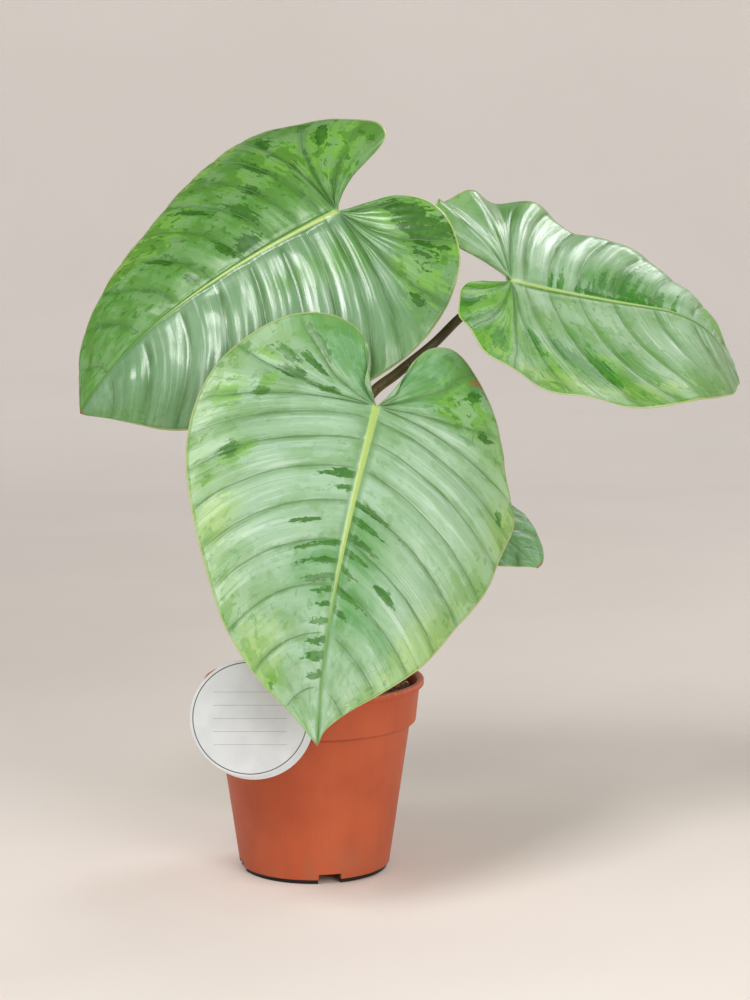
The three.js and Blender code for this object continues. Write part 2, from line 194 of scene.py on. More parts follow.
def mend(piece, closing=0.0, turning=False):  # closes seams up to a width, and turns faces outward
    shape = bmesh.new()
    shape.from_mesh(piece.data)
    if closing:
        bmesh.ops.remove_doubles(shape, verts=shape.verts, dist=closing * mm)
        bmesh.ops.dissolve_degenerate(shape, edges=shape.edges, dist=closing * mm)
    if turning:
        bmesh.ops.recalc_face_normals(shape, faces=shape.faces)
    shape.to_mesh(piece.data)
    shape.free()


def settle(piece, slot, *nodes):  # the piece rides on the plant and stands for its nodes
    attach(piece, "root")
    if nodes:
        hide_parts(*nodes)
    return piece


# Curves through chosen points, with an even run along them
def through(points, perStretch=40):
    p = np.array(points, float)
    p = np.vstack([2 * p[0] - p[1], p, 2 * p[-1] - p[-2]])
    gaps = np.linalg.norm(np.diff(p, axis=0), axis=1) ** 0.5
    pieces = []
    t = np.linspace(0, 1, perStretch, endpoint=False)[:, None]
    for i in range(1, len(p) - 2):
        before, here, after = gaps[i - 1], gaps[i], gaps[i + 1]
        a, b, c, d = p[i - 1:i + 3]
        leave = ((b - a) / before - (c - a) / (before + here) + (c - b) / here) * here
        arrive = ((c - b) / here - (d - b) / (here + after) + (d - c) / after) * here
        square = -3 * b + 3 * c - 2 * leave - arrive
        cube = 2 * b - 2 * c + leave + arrive
        pieces.append(b + leave * t + square * t**2 + cube * t**3)
    line = np.vstack([*pieces, p[-2][None]])
    run = np.concatenate([[0], np.cumsum(np.linalg.norm(np.diff(line, axis=0), axis=1))])
    return line, run / run[-1]


def atShare(curve, share):
    line, run = curve
    return np.stack([np.interp(share, run, line[:, k]) for k in range(line.shape[1])], -1)


# Leaves. Outlines, bends and places are the model's own; marks are places on the flat blade.
blade = {
    "thickness": 0.8, "marginThickness": 0.35, "fanShare": 0.44, "fanSteps": 18, "veinSteps": 14,
    "rows": 44, "rowCrowding": 1.3, "veinCrowding": 1.45, "fanBendAlong": 0.35,
    "pleatSwell": 3.4, "pleatAtMargin": 0.3, "curlShare": 0.16, "farCurl": 0.5, "ribHalfWidth": 2.6,
    "calmNotch": 0.2, "calmTip": 6,
}
relief = {"waves": 7, "waveLengths": (22, 60), "wander": 0.05, "wanderCrowding": 1.5, "crestPower": 1.3,
          "minorPleats": 3, "minorPower": 0.8, "minorUneven": 0.6, "minorLevel": 0.6, "grooveDepth": 0.34,
          "grooveHalfWidth": 1.0, "swellDepth": 0.6, "ridge": 0.5, "ridgeGroove": 0.6, "grooveAt": 1.9,
          "veinUnder": 0.35}
markShape = {"shortestVein": 20, "power": 1.3, "peak": 1.3, "fall": 0.65}

leaves = {
    "front": {
        "junction": (34.1, -32, 256.6), "heading": -106, "pitch": -51, "tilt": -24, "length": 189,
        "bow": -2, "hook": 8, "basalVeins": 4, "lateralVeins": 9,
        "veinBends": ((0.32, 0.6), (0.14, 0.66)), "minorDepths": (0.24, 0.24), "pleats": (1.3, 1.3),
        "rippleDepths": (1.2, 1.2), "rippleCount": 5, "rippleSpread": 1, "rippleStart": 0.3, "curl": 7,
        "rib": 2.4, "midribHalfWidth": 2.5, "seed": 3,
        "outlines": [
            [
                (-2, 3), (-8, 8), (-20, 10.5), (-34, 15), (-45, 23), (-48.5, 34), (-40, 50), (-22, 69),
                (-4, 77), (8, 80.5), (19, 88), (28, 95), (38, 96), (57, 90), (85, 82), (110, 68),
                (134, 52), (153, 33), (170, 13), (181, 3), (189, 0),
            ],
            [
                (-2, 3), (-8, 8.5), (-23, 9), (-37, 12), (-46, 21), (-49, 34), (-45, 54), (-31, 72),
                (-6, 87), (23, 93), (51, 90), (84, 79), (115, 65), (140, 52), (162, 33), (178, 12),
                (189, 0),
            ],
        ],
        "rolls": [(90, 0, 90, -36), (-90, 0, 90, -14), (0, 10, 170, -14)],
        "marks": {
            "dark": [
                (44, -8, 13, 2.6), (51, -4, 8, 1.6), (62, 8, 18, 2), (70, 7, 14, 1.8), (79, 5, 12, 2),
                (88, 4, 8, 1.8), (84, -6, 9, 1.4), (95, -9, 14, 1.8), (102, -6, 12, 1.8),
                (110, -4, 8, 2), (98, 3, 7, 2), (108, 4, 12, 2.2), (119, 2, 7, 2), (117, -3, 7, 1.6),
                (126, -3, 9, 2), (135, -3, 8, 2), (144, -3, 9, 2.4), (153, -3, 6, 2), (105, 26, 5, 3),
                (75, -22, 9, 1.4), (90, -19, 8, 1.4), (-9, -47, 8, 4), (-3, -27, 9, 3), (-20, -52, 8, 3),
                (-16, -36, 10, 2.5), (-30, -36, 9, 3), (6, -60, 6, 3), (-26, 53, 5, 3), (-5, 63, 5, 4),
                (34, 84, 3, 3), (44, -69, 5, 5),
            ],
            "bright": [
                (46, -66, 9, 6), (63, -78, 4, 4), (163, -25, 4, 3), (-14, 47, 16, 14),
                (-16, -63, 9, 3.5), (0, -58, 4, 8), (10, -76, 12, 8),
            ],
            "green": [
                # the three with negative along and out lie in the curled basal lobe and are painted shade;
                # the others are the leaf's own green
                (-22, 31, 26, 24), (-26, -14, 26, 9), (-38, -26, 26, 12), (-44, -38, 14, 14),
                (84, 6, 16, 16), (110, 0.5, 14, 16), (100, -8, 14, 12),
            ],
            "yellow": [(83, -67, 12, 12), (40, 90, 12, 16), (150, -32, 12, 14), (130, 50, 10, 30)],
            "silverAndGlare": [(110, 34, 20, 26), (60, -45, 20, 26), (40, 45, 22, 22), (20, -35, 14, 16)],
            "blush": [(-37, 54, 4, 4)],
        },
    },
    "left": {
        "junction": (12.5, 38, 357.4), "heading": -164, "pitch": -30, "tilt": -48, "length": 183,
        "bow": -6, "hook": 2, "basalVeins": 4, "lateralVeins": 9,
        "veinBends": ((0.14, 0.66), (0.14, 0.66)), "minorDepths": (0.36, 0.36), "pleats": (1.7, 1.7),
        "rippleDepths": (1, 1), "rippleCount": 4, "rippleSpread": 1, "rippleStart": 0.1, "curl": 0,
        "rib": 2.4, "midribHalfWidth": 1.9, "seed": 11,
        "outlines": [
            [
                (-2, 3), (-12, 7), (-27, 9), (-39, 17.5), (-46, 30.5), (-46, 45), (-38, 64.5),
                (-20, 80.5), (0, 90), (20, 96), (46, 98), (73, 93), (102, 81.5), (128, 68.5), (148, 51),
                (161, 32.5), (171, 17.5), (180, 5), (183, 0),
            ],
            [
                (-2, 4), (-10, 14.5), (-24, 20), (-41, 22), (-51, 29.5), (-52, 41), (-39, 57),
                (-16, 79.5), (0, 94), (14, 95.5), (40, 85.5), (71, 73.5), (109, 54), (136, 41),
                (153, 32.5), (166, 21.5), (175, 9), (183, 0),
            ],
        ],
        "rolls": [(90, 0, 90, -20), (-90, 0, 90, -29), (0, 110, 70, -20), (0, 0, 180, -15)],
        "marks": {
            "dark": [
                (41, -31, 13, 4), (51, -9, 6, 8), (62, -14, 9, 3), (87, -9, 4, 3), (-30, 28, 6, 22),
                (20, -60, 12, 3), (30, -44, 8, 3), (5, -80, 9, 3.5), (-22, -52, 9, 4),
                (64, -52, 12, 2.4), (95, -34, 9, 2.4), (-38, 44, 6, 5), (-6, 72, 8, 3),
            ],
            "bright": [
                (2, -58, 22, 30), (-20, -40, 18, 16), (90, -55, 14, 30), (-34, 30, 12, 20),
                (-12, 60, 18, 12), (40, -85, 9, 26),
            ],
            "green": [
                (20, -40, 40, 50), (-30, 26, 24, 24), (2, 27, 12, 12), (90, -30, 30, 40),
                (120, -30, 40, 50), (150, -18, 30, 40),
            ],
            "yellow": [(34, -90, 7, 30), (110, -52, 6, 20)],
            "silverAndGlare": [
                (50, 40, 40, 50), (90, 30, 30, 30), (-32, 22, 5, 4), (-17, 30, 6, 4), (-18, 66, 6, 6),
                (-50, -29, 5, 5),
            ],
            "blush": [],
        },
    },
    "right": {
        "junction": (108, 30, 320), "heading": 19, "pitch": -17, "tilt": 42.5, "length": 170, "bow": 4.7,
        "hook": 0, "basalVeins": 4, "lateralVeins": 8, "veinBends": ((0.14, 0.66), (0.14, 0.66)),
        "minorDepths": (0.2, 0.05), "pleats": (1.3, 0.5), "rippleDepths": (3.7, 1.6),
        "rippleCount": 16.4, "rippleSpread": 0.2, "rippleStart": 0.12, "curl": 0, "rib": 2.1,
        "midribHalfWidth": 1.5, "seed": 23,
        "outlines": [
            [
                (-2, 3), (-6.5, 8), (-17, 10), (-30, 14), (-40, 23.5), (-44, 36), (-40, 51), (-26, 65),
                (-4, 75), (18, 79), (45, 76), (69, 67), (94, 55), (119, 41), (142, 23.5), (158, 9),
                (170, 0),
            ],
            [
                (-2, 3), (-9, 5.5), (-20, 9), (-30, 16), (-35, 30), (-35, 45), (-27, 60), (-10, 75),
                (13, 83), (42, 85), (65, 83.5), (91, 77), (109, 65), (125, 51.5), (142, 35.5), (159, 13),
                (170, 0),
            ],
        ],
        "rolls": [
            (90, 0, 75, -10.5), (-90, 0, 75, 3.5), (62.5, 78, 20, -52), (0, 88, 55, -50), (0, 0, 90, 11),
        ],
        "marks": {
            "dark": [
                (24, 4, 10, 1.4), (31, 5, 13, 1.6), (42, 4, 8, 1.4), (50, 5, 12, 1.6), (56, 7, 24, 2.2),
                (62, 5, 16, 2), (68, 6, 30, 2.4), (75, 5, 26, 2), (80, 3, 14, 2), (90, 4, 12, 1.8),
                (99, 3, 9, 1.4), (48, 3, 7, 2), (85, 3, 6, 2), (-21, -40, 14, 6), (-14, -50, 8, 5),
                (-28, -28, 8, 4), (27, -51, 12, 5), (39, -60, 13, 7), (47, -55, 10, 4), (54, -67, 5, 3),
                (8, -46, 8, 3),
            ],
            "bright": [
                (-22, -34, 26, 28), (-10, -30, 20, 16), (52, -52, 9, 7), (20, -62, 14, 12),
                (135, 14, 8, 14),
            ],
            "green": [(-20, -34, 46, 46), (0, 56, 20, 14), (70, 14, 14, 24), (40, -56, 20, 30)],
            "yellow": [(25, 77, 6, 8), (22, -76, 8, 30), (70, -72, 6, 26)],
            "silverAndGlare": [
                (60, 45, 26, 40), (20, 40, 16, 16), (110, 20, 20, 24), (100, -25, 20, 20),
                # these two near the tip are painted glare: pale streaks standing in for highlights
                (140, 10, 34, 30), (135, -12, 34, 30),
            ],
            "blush": [],
        },
    },
    "small": {
        "junction": (70.8, 10, 201.9), "heading": -25, "pitch": -24.5, "tilt": 27, "length": 65,
        "bow": 0, "hook": -1, "basalVeins": 3, "lateralVeins": 6,
        "veinBends": ((0.14, 0.66), (0.14, 0.66)), "minorDepths": (0.2, 0.2), "pleats": (0.8, 0.8),
        "rippleDepths": (0.8, 0.8), "rippleCount": 3, "rippleSpread": 1, "rippleStart": 0.2, "curl": 0,
        "rib": 1.5, "midribHalfWidth": 1.0, "seed": 31,
        "outlines": [
            [
                (-1.5, 2), (-4.5, 4.5), (-10, 6), (-16, 11), (-17, 19), (-11, 27), (0, 32), (15, 34),
                (31, 31.5), (45, 26), (55, 19), (62, 11), (65, 4), (65, 0),
            ],
            [
                (-1.5, 2), (-4.5, 4.5), (-10, 6), (-16, 11), (-17, 19), (-11, 27), (0, 32), (15, 33),
                (31, 28.5), (45, 20), (55, 11), (61.5, 4), (65, 0),
            ],
        ],
        "rolls": [(90, 0, 33, -29), (-90, 0, 33, -29), (0, 9, 62, -23)],
        "marks": {
            "dark": [(20, 10, 5, 3), (38, -8, 5, 3)],
            "bright": [],
            "green": [(30, 0.5, 40, 40), (30, -0.5, 40, 40)],
            "yellow": [],
            "silverAndGlare": [],
            "blush": [],
        },
    },
}


def rollSheet(p, toward, start, over, by):  # what lies past a line rolls round a cylinder
    c, s = math.cos(math.radians(toward)), math.sin(math.radians(toward))
    out = p[..., 0] * c + p[..., 1] * s
    beside = p[..., 1] * c - p[..., 0] * s
    curvature = math.radians(by) / over
    turn = curvature * np.clip(out - start, 0, over)
    beyond = np.maximum(0, out - start - over)
    flat = np.minimum(out, start) + np.sin(turn) / curvature + beyond * np.cos(turn)
    reach = flat - p[..., 2] * np.sin(turn)
    height = (1 - np.cos(turn)) / curvature + beyond * np.sin(turn) + p[..., 2] * np.cos(turn)
    return np.stack([reach * c - beside * s, reach * s + beside * c, height], -1)


def leafAxes(leaf):
    heading, pitch, tilt = (math.radians(leaf[k]) for k in ("heading", "pitch", "tilt"))
    ahead = np.array([math.cos(heading), math.sin(heading), 0])
    level = np.array([-math.sin(heading), math.cos(heading), 0])
    along = ahead * math.cos(pitch) + (0, 0, math.sin(pitch))
    upright = np.cross(along, level)
    aside = level * math.cos(tilt) + upright * math.sin(tilt)
    up = upright * math.cos(tilt) - level * math.sin(tilt)
    return np.stack([along, aside, up])


def leafWorld(leaf, p):
    for bend in leaf["rolls"]:
        p = rollSheet(p, *bend)
    return np.array(leaf["junction"]) + p @ leafAxes(leaf)


def softWaves(along, out, seed):  # slow dents and swells over a blade, about 1 either way
    draw = np.random.default_rng(seed)
    total = np.zeros_like(along)
    for _ in range(relief["waves"]):
        angle, length = draw.uniform(0, math.tau), draw.uniform(*relief["waveLengths"])
        across = along * math.cos(angle) + out * math.sin(angle)
        total += np.sin(math.tau * across / length + draw.uniform(0, 6))
    return total / 3


def midribWidth(leaf, forward):  # half its width, which falls fast from the stalk and then slowly
    return leaf["midribHalfWidth"] * (0.2 + 0.8 * (1 - forward) ** 1.7)


def bladeSheet(leaf, half):  # one half of a blade: flat places, veins and both faces
    fanColumns = leaf["basalVeins"] * blade["fanSteps"]
    lateralColumns = leaf["lateralVeins"] * blade["veinSteps"]
    fan = np.arange(fanColumns + 1) / fanColumns
    past = np.arange(1, lateralColumns + 1) / lateralColumns
    lateral = blade["fanShare"] + (1 - blade["fanShare"]) * past
    reach = np.concatenate([blade["fanShare"] * fan, lateral])[:, None]
    lateralRoots = leaf["length"] * past ** blade["veinCrowding"]
    root = np.concatenate([np.zeros(fanColumns + 1), lateralRoots])[:, None]
    basal = leaf["basalVeins"]
    vein = np.concatenate([fan * basal, basal + past * leaf["lateralVeins"]])[:, None]
    share = (np.arange(blade["rows"] + 1) / blade["rows"])[None, :] ** blade["rowCrowding"]
    end = atShare(through(leaf["outlines"][half]), reach[:, 0])
    rest = 1 - share
    fanward = np.minimum(1, reach / blade["fanShare"])
    bendAhead, bendOut = leaf["veinBends"][half]
    lean = blade["fanBendAlong"] + (bendAhead - blade["fanBendAlong"]) * fanward
    bendAlong = root + lean * (end[:, :1] - root)
    along = rest * rest * root + 2 * rest * share * bendAlong + share * share * end[:, :1]
    out = 2 * rest * share * bendOut * end[:, 1:] + share * share * end[:, 1:]
    forward = np.clip(along / leaf["length"], 0, 1)
    sweep = leaf["bow"] * np.sin(math.pi * forward) + leaf["hook"] * forward**4
    side = 1 if half == 0 else -1

    # pleats between the veins, which wander a little, finer ones toward the margin, and a rippled margin
    crowding = relief["wanderCrowding"]
    wander = softWaves(along * crowding, side * out * crowding, leaf["seed"] + 1)
    wander = wander * np.minimum(1, reach / 0.1) * (1 - reach)
    vein = vein + relief["wander"] * wander * share
    swell = blade["pleatSwell"] * share * rest + blade["pleatAtMargin"] * share
    crest = np.abs(np.sin(math.pi * vein)) ** relief["crestPower"]
    minor = np.abs(np.sin(math.pi * vein * relief["minorPleats"])) ** relief["minorPower"]
    minor = minor * (1 + relief["minorUneven"] * softWaves(along, side * out, leaf["seed"] + 2))
    minor = leaf["minorDepths"][half] * (minor - relief["minorLevel"])
    calm = np.minimum(1, reach / blade["calmNotch"]) ** 2 * (1 - reach ** blade["calmTip"])
    phase = leaf["rippleCount"] * reach ** leaf["rippleSpread"] + leaf["rippleStart"]
    notchSide = np.maximum(0, 1 - reach / blade["curlShare"])
    height = leaf["pleats"][half] * (crest + minor) * swell
    height = height + leaf["rippleDepths"][half] * calm * np.sin(math.tau * phase) * share * share
    height = height + leaf["curl"] * notchSide**2 * share * (1 if half == 1 else blade["farCurl"])
    inside = np.clip(out / 8, 0, 1) * rest
    height = height + relief["swellDepth"] * softWaves(along, side * out, leaf["seed"]) * inside

    width = midribWidth(leaf, forward)
    fade = 1 - forward**2
    beside = (out - relief["grooveAt"] * width) / width
    ridge = relief["ridge"] * np.exp(-((out / width) ** 2)) - relief["ridgeGroove"] * np.exp(-(beside**2))
    fromMidrib = np.clip(along / 12, 0, 1)
    top = height + ridge * fade * fromMidrib
    flat = np.stack([along, side * out + sweep, height], -1)
    spacing = np.linalg.norm(np.gradient(flat, axis=0), axis=-1) / np.maximum(0.01, np.gradient(vein, axis=0))
    fromVein = np.abs(vein - np.round(vein)) * spacing
    groove = np.exp(-((fromVein / relief["grooveHalfWidth"]) ** 2)) * np.clip(out / 6, 0, 1) * rest**0.5
    top = top - relief["grooveDepth"] * groove
    thickness = blade["thickness"] - (blade["thickness"] - blade["marginThickness"]) * share**10
    rib = leaf["rib"] * np.sqrt(np.maximum(0, 1 - (out / blade["ribHalfWidth"]) ** 2)) * fade
    under = height - thickness - rib - relief["veinUnder"] * groove
    faces = [np.stack([along, side * out + sweep, level], -1) for level in (top, under)]
    fields = {
        "place": np.stack([along, side * out, vein], -1),
        "grain": np.stack(np.broadcast_arrays(share, reach, spacing), -1),
    }
    return faces, fields


def markStrength(marks, place, grain):  # 1 in the middle of a mark and 0 at twice its half length or width
    strength = np.zeros(len(place))
    power = markShape["power"]
    lengths = np.maximum(markShape["shortestVein"], np.abs(place[:, 1]) / np.maximum(grain[:, 0], 0.02))
    for along, out, halfLong, halfWide in marks:
        nearest = np.argmin((place[:, 0] - along) ** 2 + (place[:, 1] - out) ** 2)
        fromEnd = (grain[:, 0] - grain[nearest, 0]) * lengths[nearest]
        across = (place[:, 2] - place[nearest, 2]) * grain[nearest, 2]
        away = (np.abs(fromEnd / halfLong) ** power + np.abs(across / halfWide) ** power) ** (1 / power)
        sameHalf = place[:, 1] * out > 0
        mark = np.clip(markShape["peak"] - markShape["fall"] * away, 0, 1)
        strength = np.maximum(strength, mark * sameHalf)
    return strength


def bladePiece(name, leaf, finish):
    places, fields, underside, faces = [], {"place": [], "grain": []}, [], []
    offset = 0
    for half in (0, 1):
        sheets, found = bladeSheet(leaf, half)
        columns, rows = sheets[0].shape[:2]
        at = np.arange(columns * rows).reshape(columns, rows)
        starts = [offset, offset + columns * rows]
        for face, sheet in enumerate(sheets):
            places.append(leafWorld(leaf, sheet).reshape(-1, 3))
            underside.append(np.full(columns * rows, float(face)))
            for key, values in found.items():
                fields[key].append(values.reshape(-1, 3))
            grid = at + starts[face]
            quads = np.stack([grid[:-1, :-1], grid[1:, :-1], grid[1:, 1:], grid[:-1, 1:]], -1).reshape(-1, 4)
            if (half == 1) != (face == 1):
                quads = quads[:, ::-1]
            faces.append(quads)
        top, under = at + starts[0], at + starts[1]
        margin = np.stack([top[:-1, -1], top[1:, -1], under[1:, -1], under[:-1, -1]], -1)
        notch = np.stack([top[0, :-1], top[0, 1:], under[0, 1:], under[0, :-1]], -1)
        faces += [margin[:, ::-1], notch[:, ::-1]] if half == 1 else [margin, notch]
        offset += 2 * columns * rows
    piece = addPiece(name, np.vstack(places), np.vstack(faces).tolist(), finish)
    mesh = piece.data
    place, grain, side = np.vstack(fields["place"]), np.vstack(fields["grain"]), np.concatenate(underside)
    strength = {kind: markStrength(marks, place, grain) for kind, marks in leaf["marks"].items()}
    layers = {
        "leafPlace": place,
        "leafGrain": grain,
        "leafMarks": np.stack([strength["dark"], strength["bright"], strength["green"]], -1),
        "leafTints": np.stack([strength["silverAndGlare"], strength["yellow"], strength["blush"]], -1),
        "leafSide": np.stack([side, side, side], -1),
    }
    for key, values in layers.items():
        mesh.attributes.new(key, "FLOAT_VECTOR", "POINT").data.foreach_set("vector", values.ravel())
    mend(piece, seamWidth)
    return piece


leafColours = {
    "bright": (110, 164, 62), "silverAndGlare": (184, 206, 190), "yellow": (152, 184, 92), "vein": (98, 136, 84),
    "midrib": (172, 196, 112), "midribTip": (92, 138, 66), "margin": (196, 204, 132), "tip": (132, 96, 58),
    "blush": (150, 96, 66), "under": (138, 164, 112), "underShade": (120, 150, 98),
    "underVein": (172, 190, 138),
}
leafPalettes = {  # pairs are for the left and the right half, as seen from above facing the tip
    "front": {
        "bases": ((130, 165, 126), (126, 161, 122)), "seconds": ((152, 184, 156), (150, 183, 154)),
        "outer": (136, 172, 96), "seamGreenAndShade": (80, 124, 66), "mottle": (90, 140, 56),
        "mottlings": (0.35, 0.4), "calmGreen": 0.5, "silverAndGlareThreads": 0.05, "gloss": 0.36,
        "coats": (0.15, 0.15), "coatFrom": -10, "dark": (58, 116, 38), "deep": (40, 94, 26),
        # the front leaf's wash is also its painted shade colour in the curled basal lobe
        "washAndShade": (82, 140, 80),
    },
    "left": {
        "bases": ((98, 139, 98), (92, 134, 78)), "seconds": ((116, 152, 114), (112, 150, 98)),
        "outer": (86, 130, 52), "seamGreenAndShade": (54, 100, 38), "mottle": (76, 126, 42), "mottlings": (0.15, 0.9),
        "calmGreen": 0, "silverAndGlareThreads": 0.1, "gloss": 0.32, "coats": (0.6, 0.12), "coatFrom": -10,
        "dark": (50, 104, 22), "deep": (36, 84, 18), "washAndShade": (84, 138, 60),
    },
    "right": {
        "bases": ((118, 155, 114), (98, 138, 80)), "seconds": ((138, 171, 134), (128, 163, 122)),
        "outer": (104, 152, 58), "seamGreenAndShade": (68, 112, 46), "mottle": (78, 134, 34),
        "mottlings": (0.25, 0.7), "calmGreen": 1, "silverAndGlareThreads": 0.06, "gloss": 0.38, "coats": (0.7, 0.1),
        "coatFrom": 30, "dark": (50, 120, 18), "deep": (34, 98, 12), "washAndShade": (60, 124, 26),
        "bright": (96, 156, 34),
    },
    "small": {
        "bases": ((134, 168, 136), (134, 168, 136)), "seconds": ((158, 186, 164), (158, 186, 164)),
        "outer": (106, 148, 86), "seamGreenAndShade": (78, 120, 66), "mottle": (84, 130, 66), "mottlings": (0.4, 0.4),
        "calmGreen": 0, "silverAndGlareThreads": 0.05, "gloss": 0.38, "coats": (0.2, 0.2), "coatFrom": -10,
        "dark": (66, 120, 46), "deep": (50, 104, 38), "washAndShade": (104, 152, 100),
    },
}
minorVeins = 6  # fine veins from one vein to the next


def leafFinish(name, leaf, palette):
    material, start, shader = startFinish(name)
    colours = {**leafColours, **palette}
    tone = {k: paint(*v) for k, v in colours.items() if isinstance(v, tuple) and len(v) == 3}

    def field(attribute):
        return start.add("ShaderNodeAttribute", {"attribute_name": attribute}, output="Vector")

    def perHalf(key):
        return wing * (palette[key][0] - palette[key][1]) + palette[key][1]

    along, out, vein = field("leafPlace").parts()
    share, _, spacing = field("leafGrain").parts()
    darkMark, brightMark, greenAndShadeMark = field("leafMarks").parts()
    silverAndGlareMark, yellowMark, blushMark = field("leafTints").parts()
    side = field("leafSide").parts()[0]
    upper = 1 - side
    away = out.size()
    wing = out.ramp(-1, 1)

    # fields that follow the veins, and some that don't
    flat = start.join(along, out, float(leaf["seed"]))
    veinwise = start.join(vein * 3.2, share * 2.2, wing * 7)
    feathers = start.join(vein * 9, share * 5, wing * 5)
    blots = start.join(vein * 1.8, share * 5, wing * 3)
    lengthwise = start.join(vein * 9, share * 1.2, wing * 4)
    blot = blots.grain(1.0, 4, 0.5, 0.3)
    speck = blots.grain(2.2, 3, 0.55, 0.3)
    cloud = flat.grain(0.03, 3, 0.55, 0.4)
    streak = veinwise.grain(1.5, 3, 0.55, 0.5)
    feather = feathers.grain(1.5, 3, 0.6)
    thread = lengthwise.grain(1.0, 3, 0.6, 0.2)
    fleck = flat.grain(0.35, 3, 0.65)
    fine = flat.grain(2.2, 2, 0.6)

    fromVein = (vein - vein.maths("ROUND", vein)).size() * spacing
    line = fromVein.ramp(0.12, 0.5, 1, 0) * away.ramp(1.5, 6) * share.ramp(0.86, 1, 1, 0)
    minor = vein * minorVeins
    fromMinor = (minor - minor.maths("ROUND", minor)).size() * spacing / minorVeins
    minorLine = fromMinor.ramp(0.08, 0.45, 1, 0)
    minorLine = minorLine * share.ramp(0.1, 0.5) * streak.ramp(0.4, 0.65)

    def feathered(mark, low=0.48, high=0.66):
        edge = (feather - 0.5) * 1.9 + (fleck - 0.5) * 1.1
        return (mark + edge).ramp(low, high) * mark.ramp(0.05, 0.25)

    # silver sheet, greener toward the margin, and darker green in soft seams along the veins: partly the
    # leaf's own green, partly painted shade in the vein grooves
    base, second = (wing.tint(paint(*palette[k][1]), paint(*palette[k][0])) for k in ("bases", "seconds"))
    body = (cloud * 0.7 + streak * 0.3).ramp(0.4, 0.62).tint(base, second)
    # silver marks lighten the sheet and thin pale threads run along the veins: the leaf's own silver, and
    # near the right leaf's tip painted glare streaks
    body = (silverAndGlareMark * 0.6).tint(body, second)
    silverAndGlareThreads = thread.ramp(0.52, 0.64) * (silverAndGlareMark * 0.5 + palette["silverAndGlareThreads"])
    body = silverAndGlareThreads.tint(body, tone["silverAndGlare"])
    body = (share.ramp(0.55, 1.0) * (0.1 + cloud * 0.7)).tint(body, tone["outer"])
    # green marks wash the sheet greener; in the front leaf's curled basal lobe this is painted shade
    body = (greenAndShadeMark.ramp(0, 0.9) * streak.ramp(0.3, 0.6, 0.5, 0.95)).tint(body, tone["washAndShade"])
    body = (feathered(brightMark, 0.35, 0.7) * 0.8).tint(body, tone["bright"])
    body = (feathered(yellowMark, 0.2, 1.0) * 0.5).tint(body, tone["yellow"])
    seamGreenAndShade = fromVein.ramp(0.3, 4.5, 1, 0) * away.ramp(1, 8) * streak.ramp(0.35, 0.62, 0.08, 0.75)
    body = seamGreenAndShade.tint(body, tone["seamGreenAndShade"])

    # blots of other greens, which lie between the veins
    mottling = perHalf("mottlings") + brightMark * 0.6 + share.ramp(0.7, 1) * 0.25
    calm = greenAndShadeMark * palette["calmGreen"]
    mottling = mottling.maths("MINIMUM", mottling, 1) * (1 - silverAndGlareMark * 0.7)
    body = (blot.ramp(0.43, 0.46, 1, 0) * mottling * (0.6 - calm * 0.45)).tint(body, second)
    body = (blot.ramp(0.54, 0.56) * mottling * 0.75).tint(body, tone["mottle"])
    body = (speck.ramp(0.6, 0.62) * mottling * 0.75).tint(body, tone["dark"])
    darkness = (streak * 0.5 + fleck * 0.5).ramp(0.4, 0.6).tint(tone["dark"], tone["deep"])
    body = (feathered(darkMark) * streak.ramp(0.2, 0.5, 0.7, 0.95)).tint(body, darkness)
    body = (feathered(blushMark) * 0.7).tint(body, tone["blush"])
    body = (minorLine * 0.2).tint(body, tone["vein"])
    body = (line * 0.75).tint(body, tone["vein"])

    # midrib, margin and tip
    forward = along / leaf["length"]
    half = midribWidth(leaf, forward.maths("MINIMUM", forward.over(0), 1))
    midrib = (away / half).ramp(0.7, 1.05, 1, 0) * along.ramp(-3, 1)
    # a darker band beside the midrib: partly painted shade in the grooves along it
    body = ((away / half).ramp(1.0, 3.4, 1, 0) * 0.55 * along.ramp(2, 10)).tint(body, tone["seamGreenAndShade"])
    ribColour = forward.ramp(0.4, 0.75).tint(tone["midrib"], tone["midribTip"])
    ribColour = (streak * 0.5 + fine * 0.5).ramp(0.3, 0.7, 0, 0.35).tint(ribColour, tone["mottle"])
    body = (midrib * 0.95).tint(body, ribColour)
    body = (share.ramp(0.984, 0.995) * 0.7).tint(body, tone["margin"])
    body = forward.ramp(0.978, 0.997).tint(body, tone["tip"])
    body = (fine * 0.12).tint(body, tone["outer"])

    below = cloud.ramp(0.3, 0.7).tint(tone["under"], tone["underShade"])
    below = (line * 0.8).over(midrib * 0.9).tint(below, tone["underVein"])
    colour = side.tint(body, below)

    gloss = palette["gloss"] + (streak - 0.5) * 0.12 + (fleck - 0.5) * 0.08 + side * 0.2
    height = fleck * 0.12 + fine * 0.08 + feather * 0.22 - line * 0.8 * upper + line * 0.8 * side
    height = height - minorLine * 0.35
    coat = upper * perHalf("coats") * (feather * 0.4 + thread * 0.6).ramp(0.42, 0.56, 0.25, 1)
    coat = coat * away.ramp(palette["coatFrom"] - 10, palette["coatFrom"] + 10)
    endFinish(start, shader, colour, gloss, height, 0.5, 0.8, coat)
    shader.inputs["Coat Roughness"].default_value = 0.16
    shader.inputs["Specular IOR Level"].default_value = 0.32
    return material


for name, leaf in leaves.items():
    finish = leafFinish(f"leaf_{name}", leaf, leafPalettes[name])
    slotName = "young_leaf" if name == "small" else "silver_leaf"
    settle(bladePiece(f"leaf_{name}", leaf, finish), slotName, f"blade_{name}")
print("leaves made")


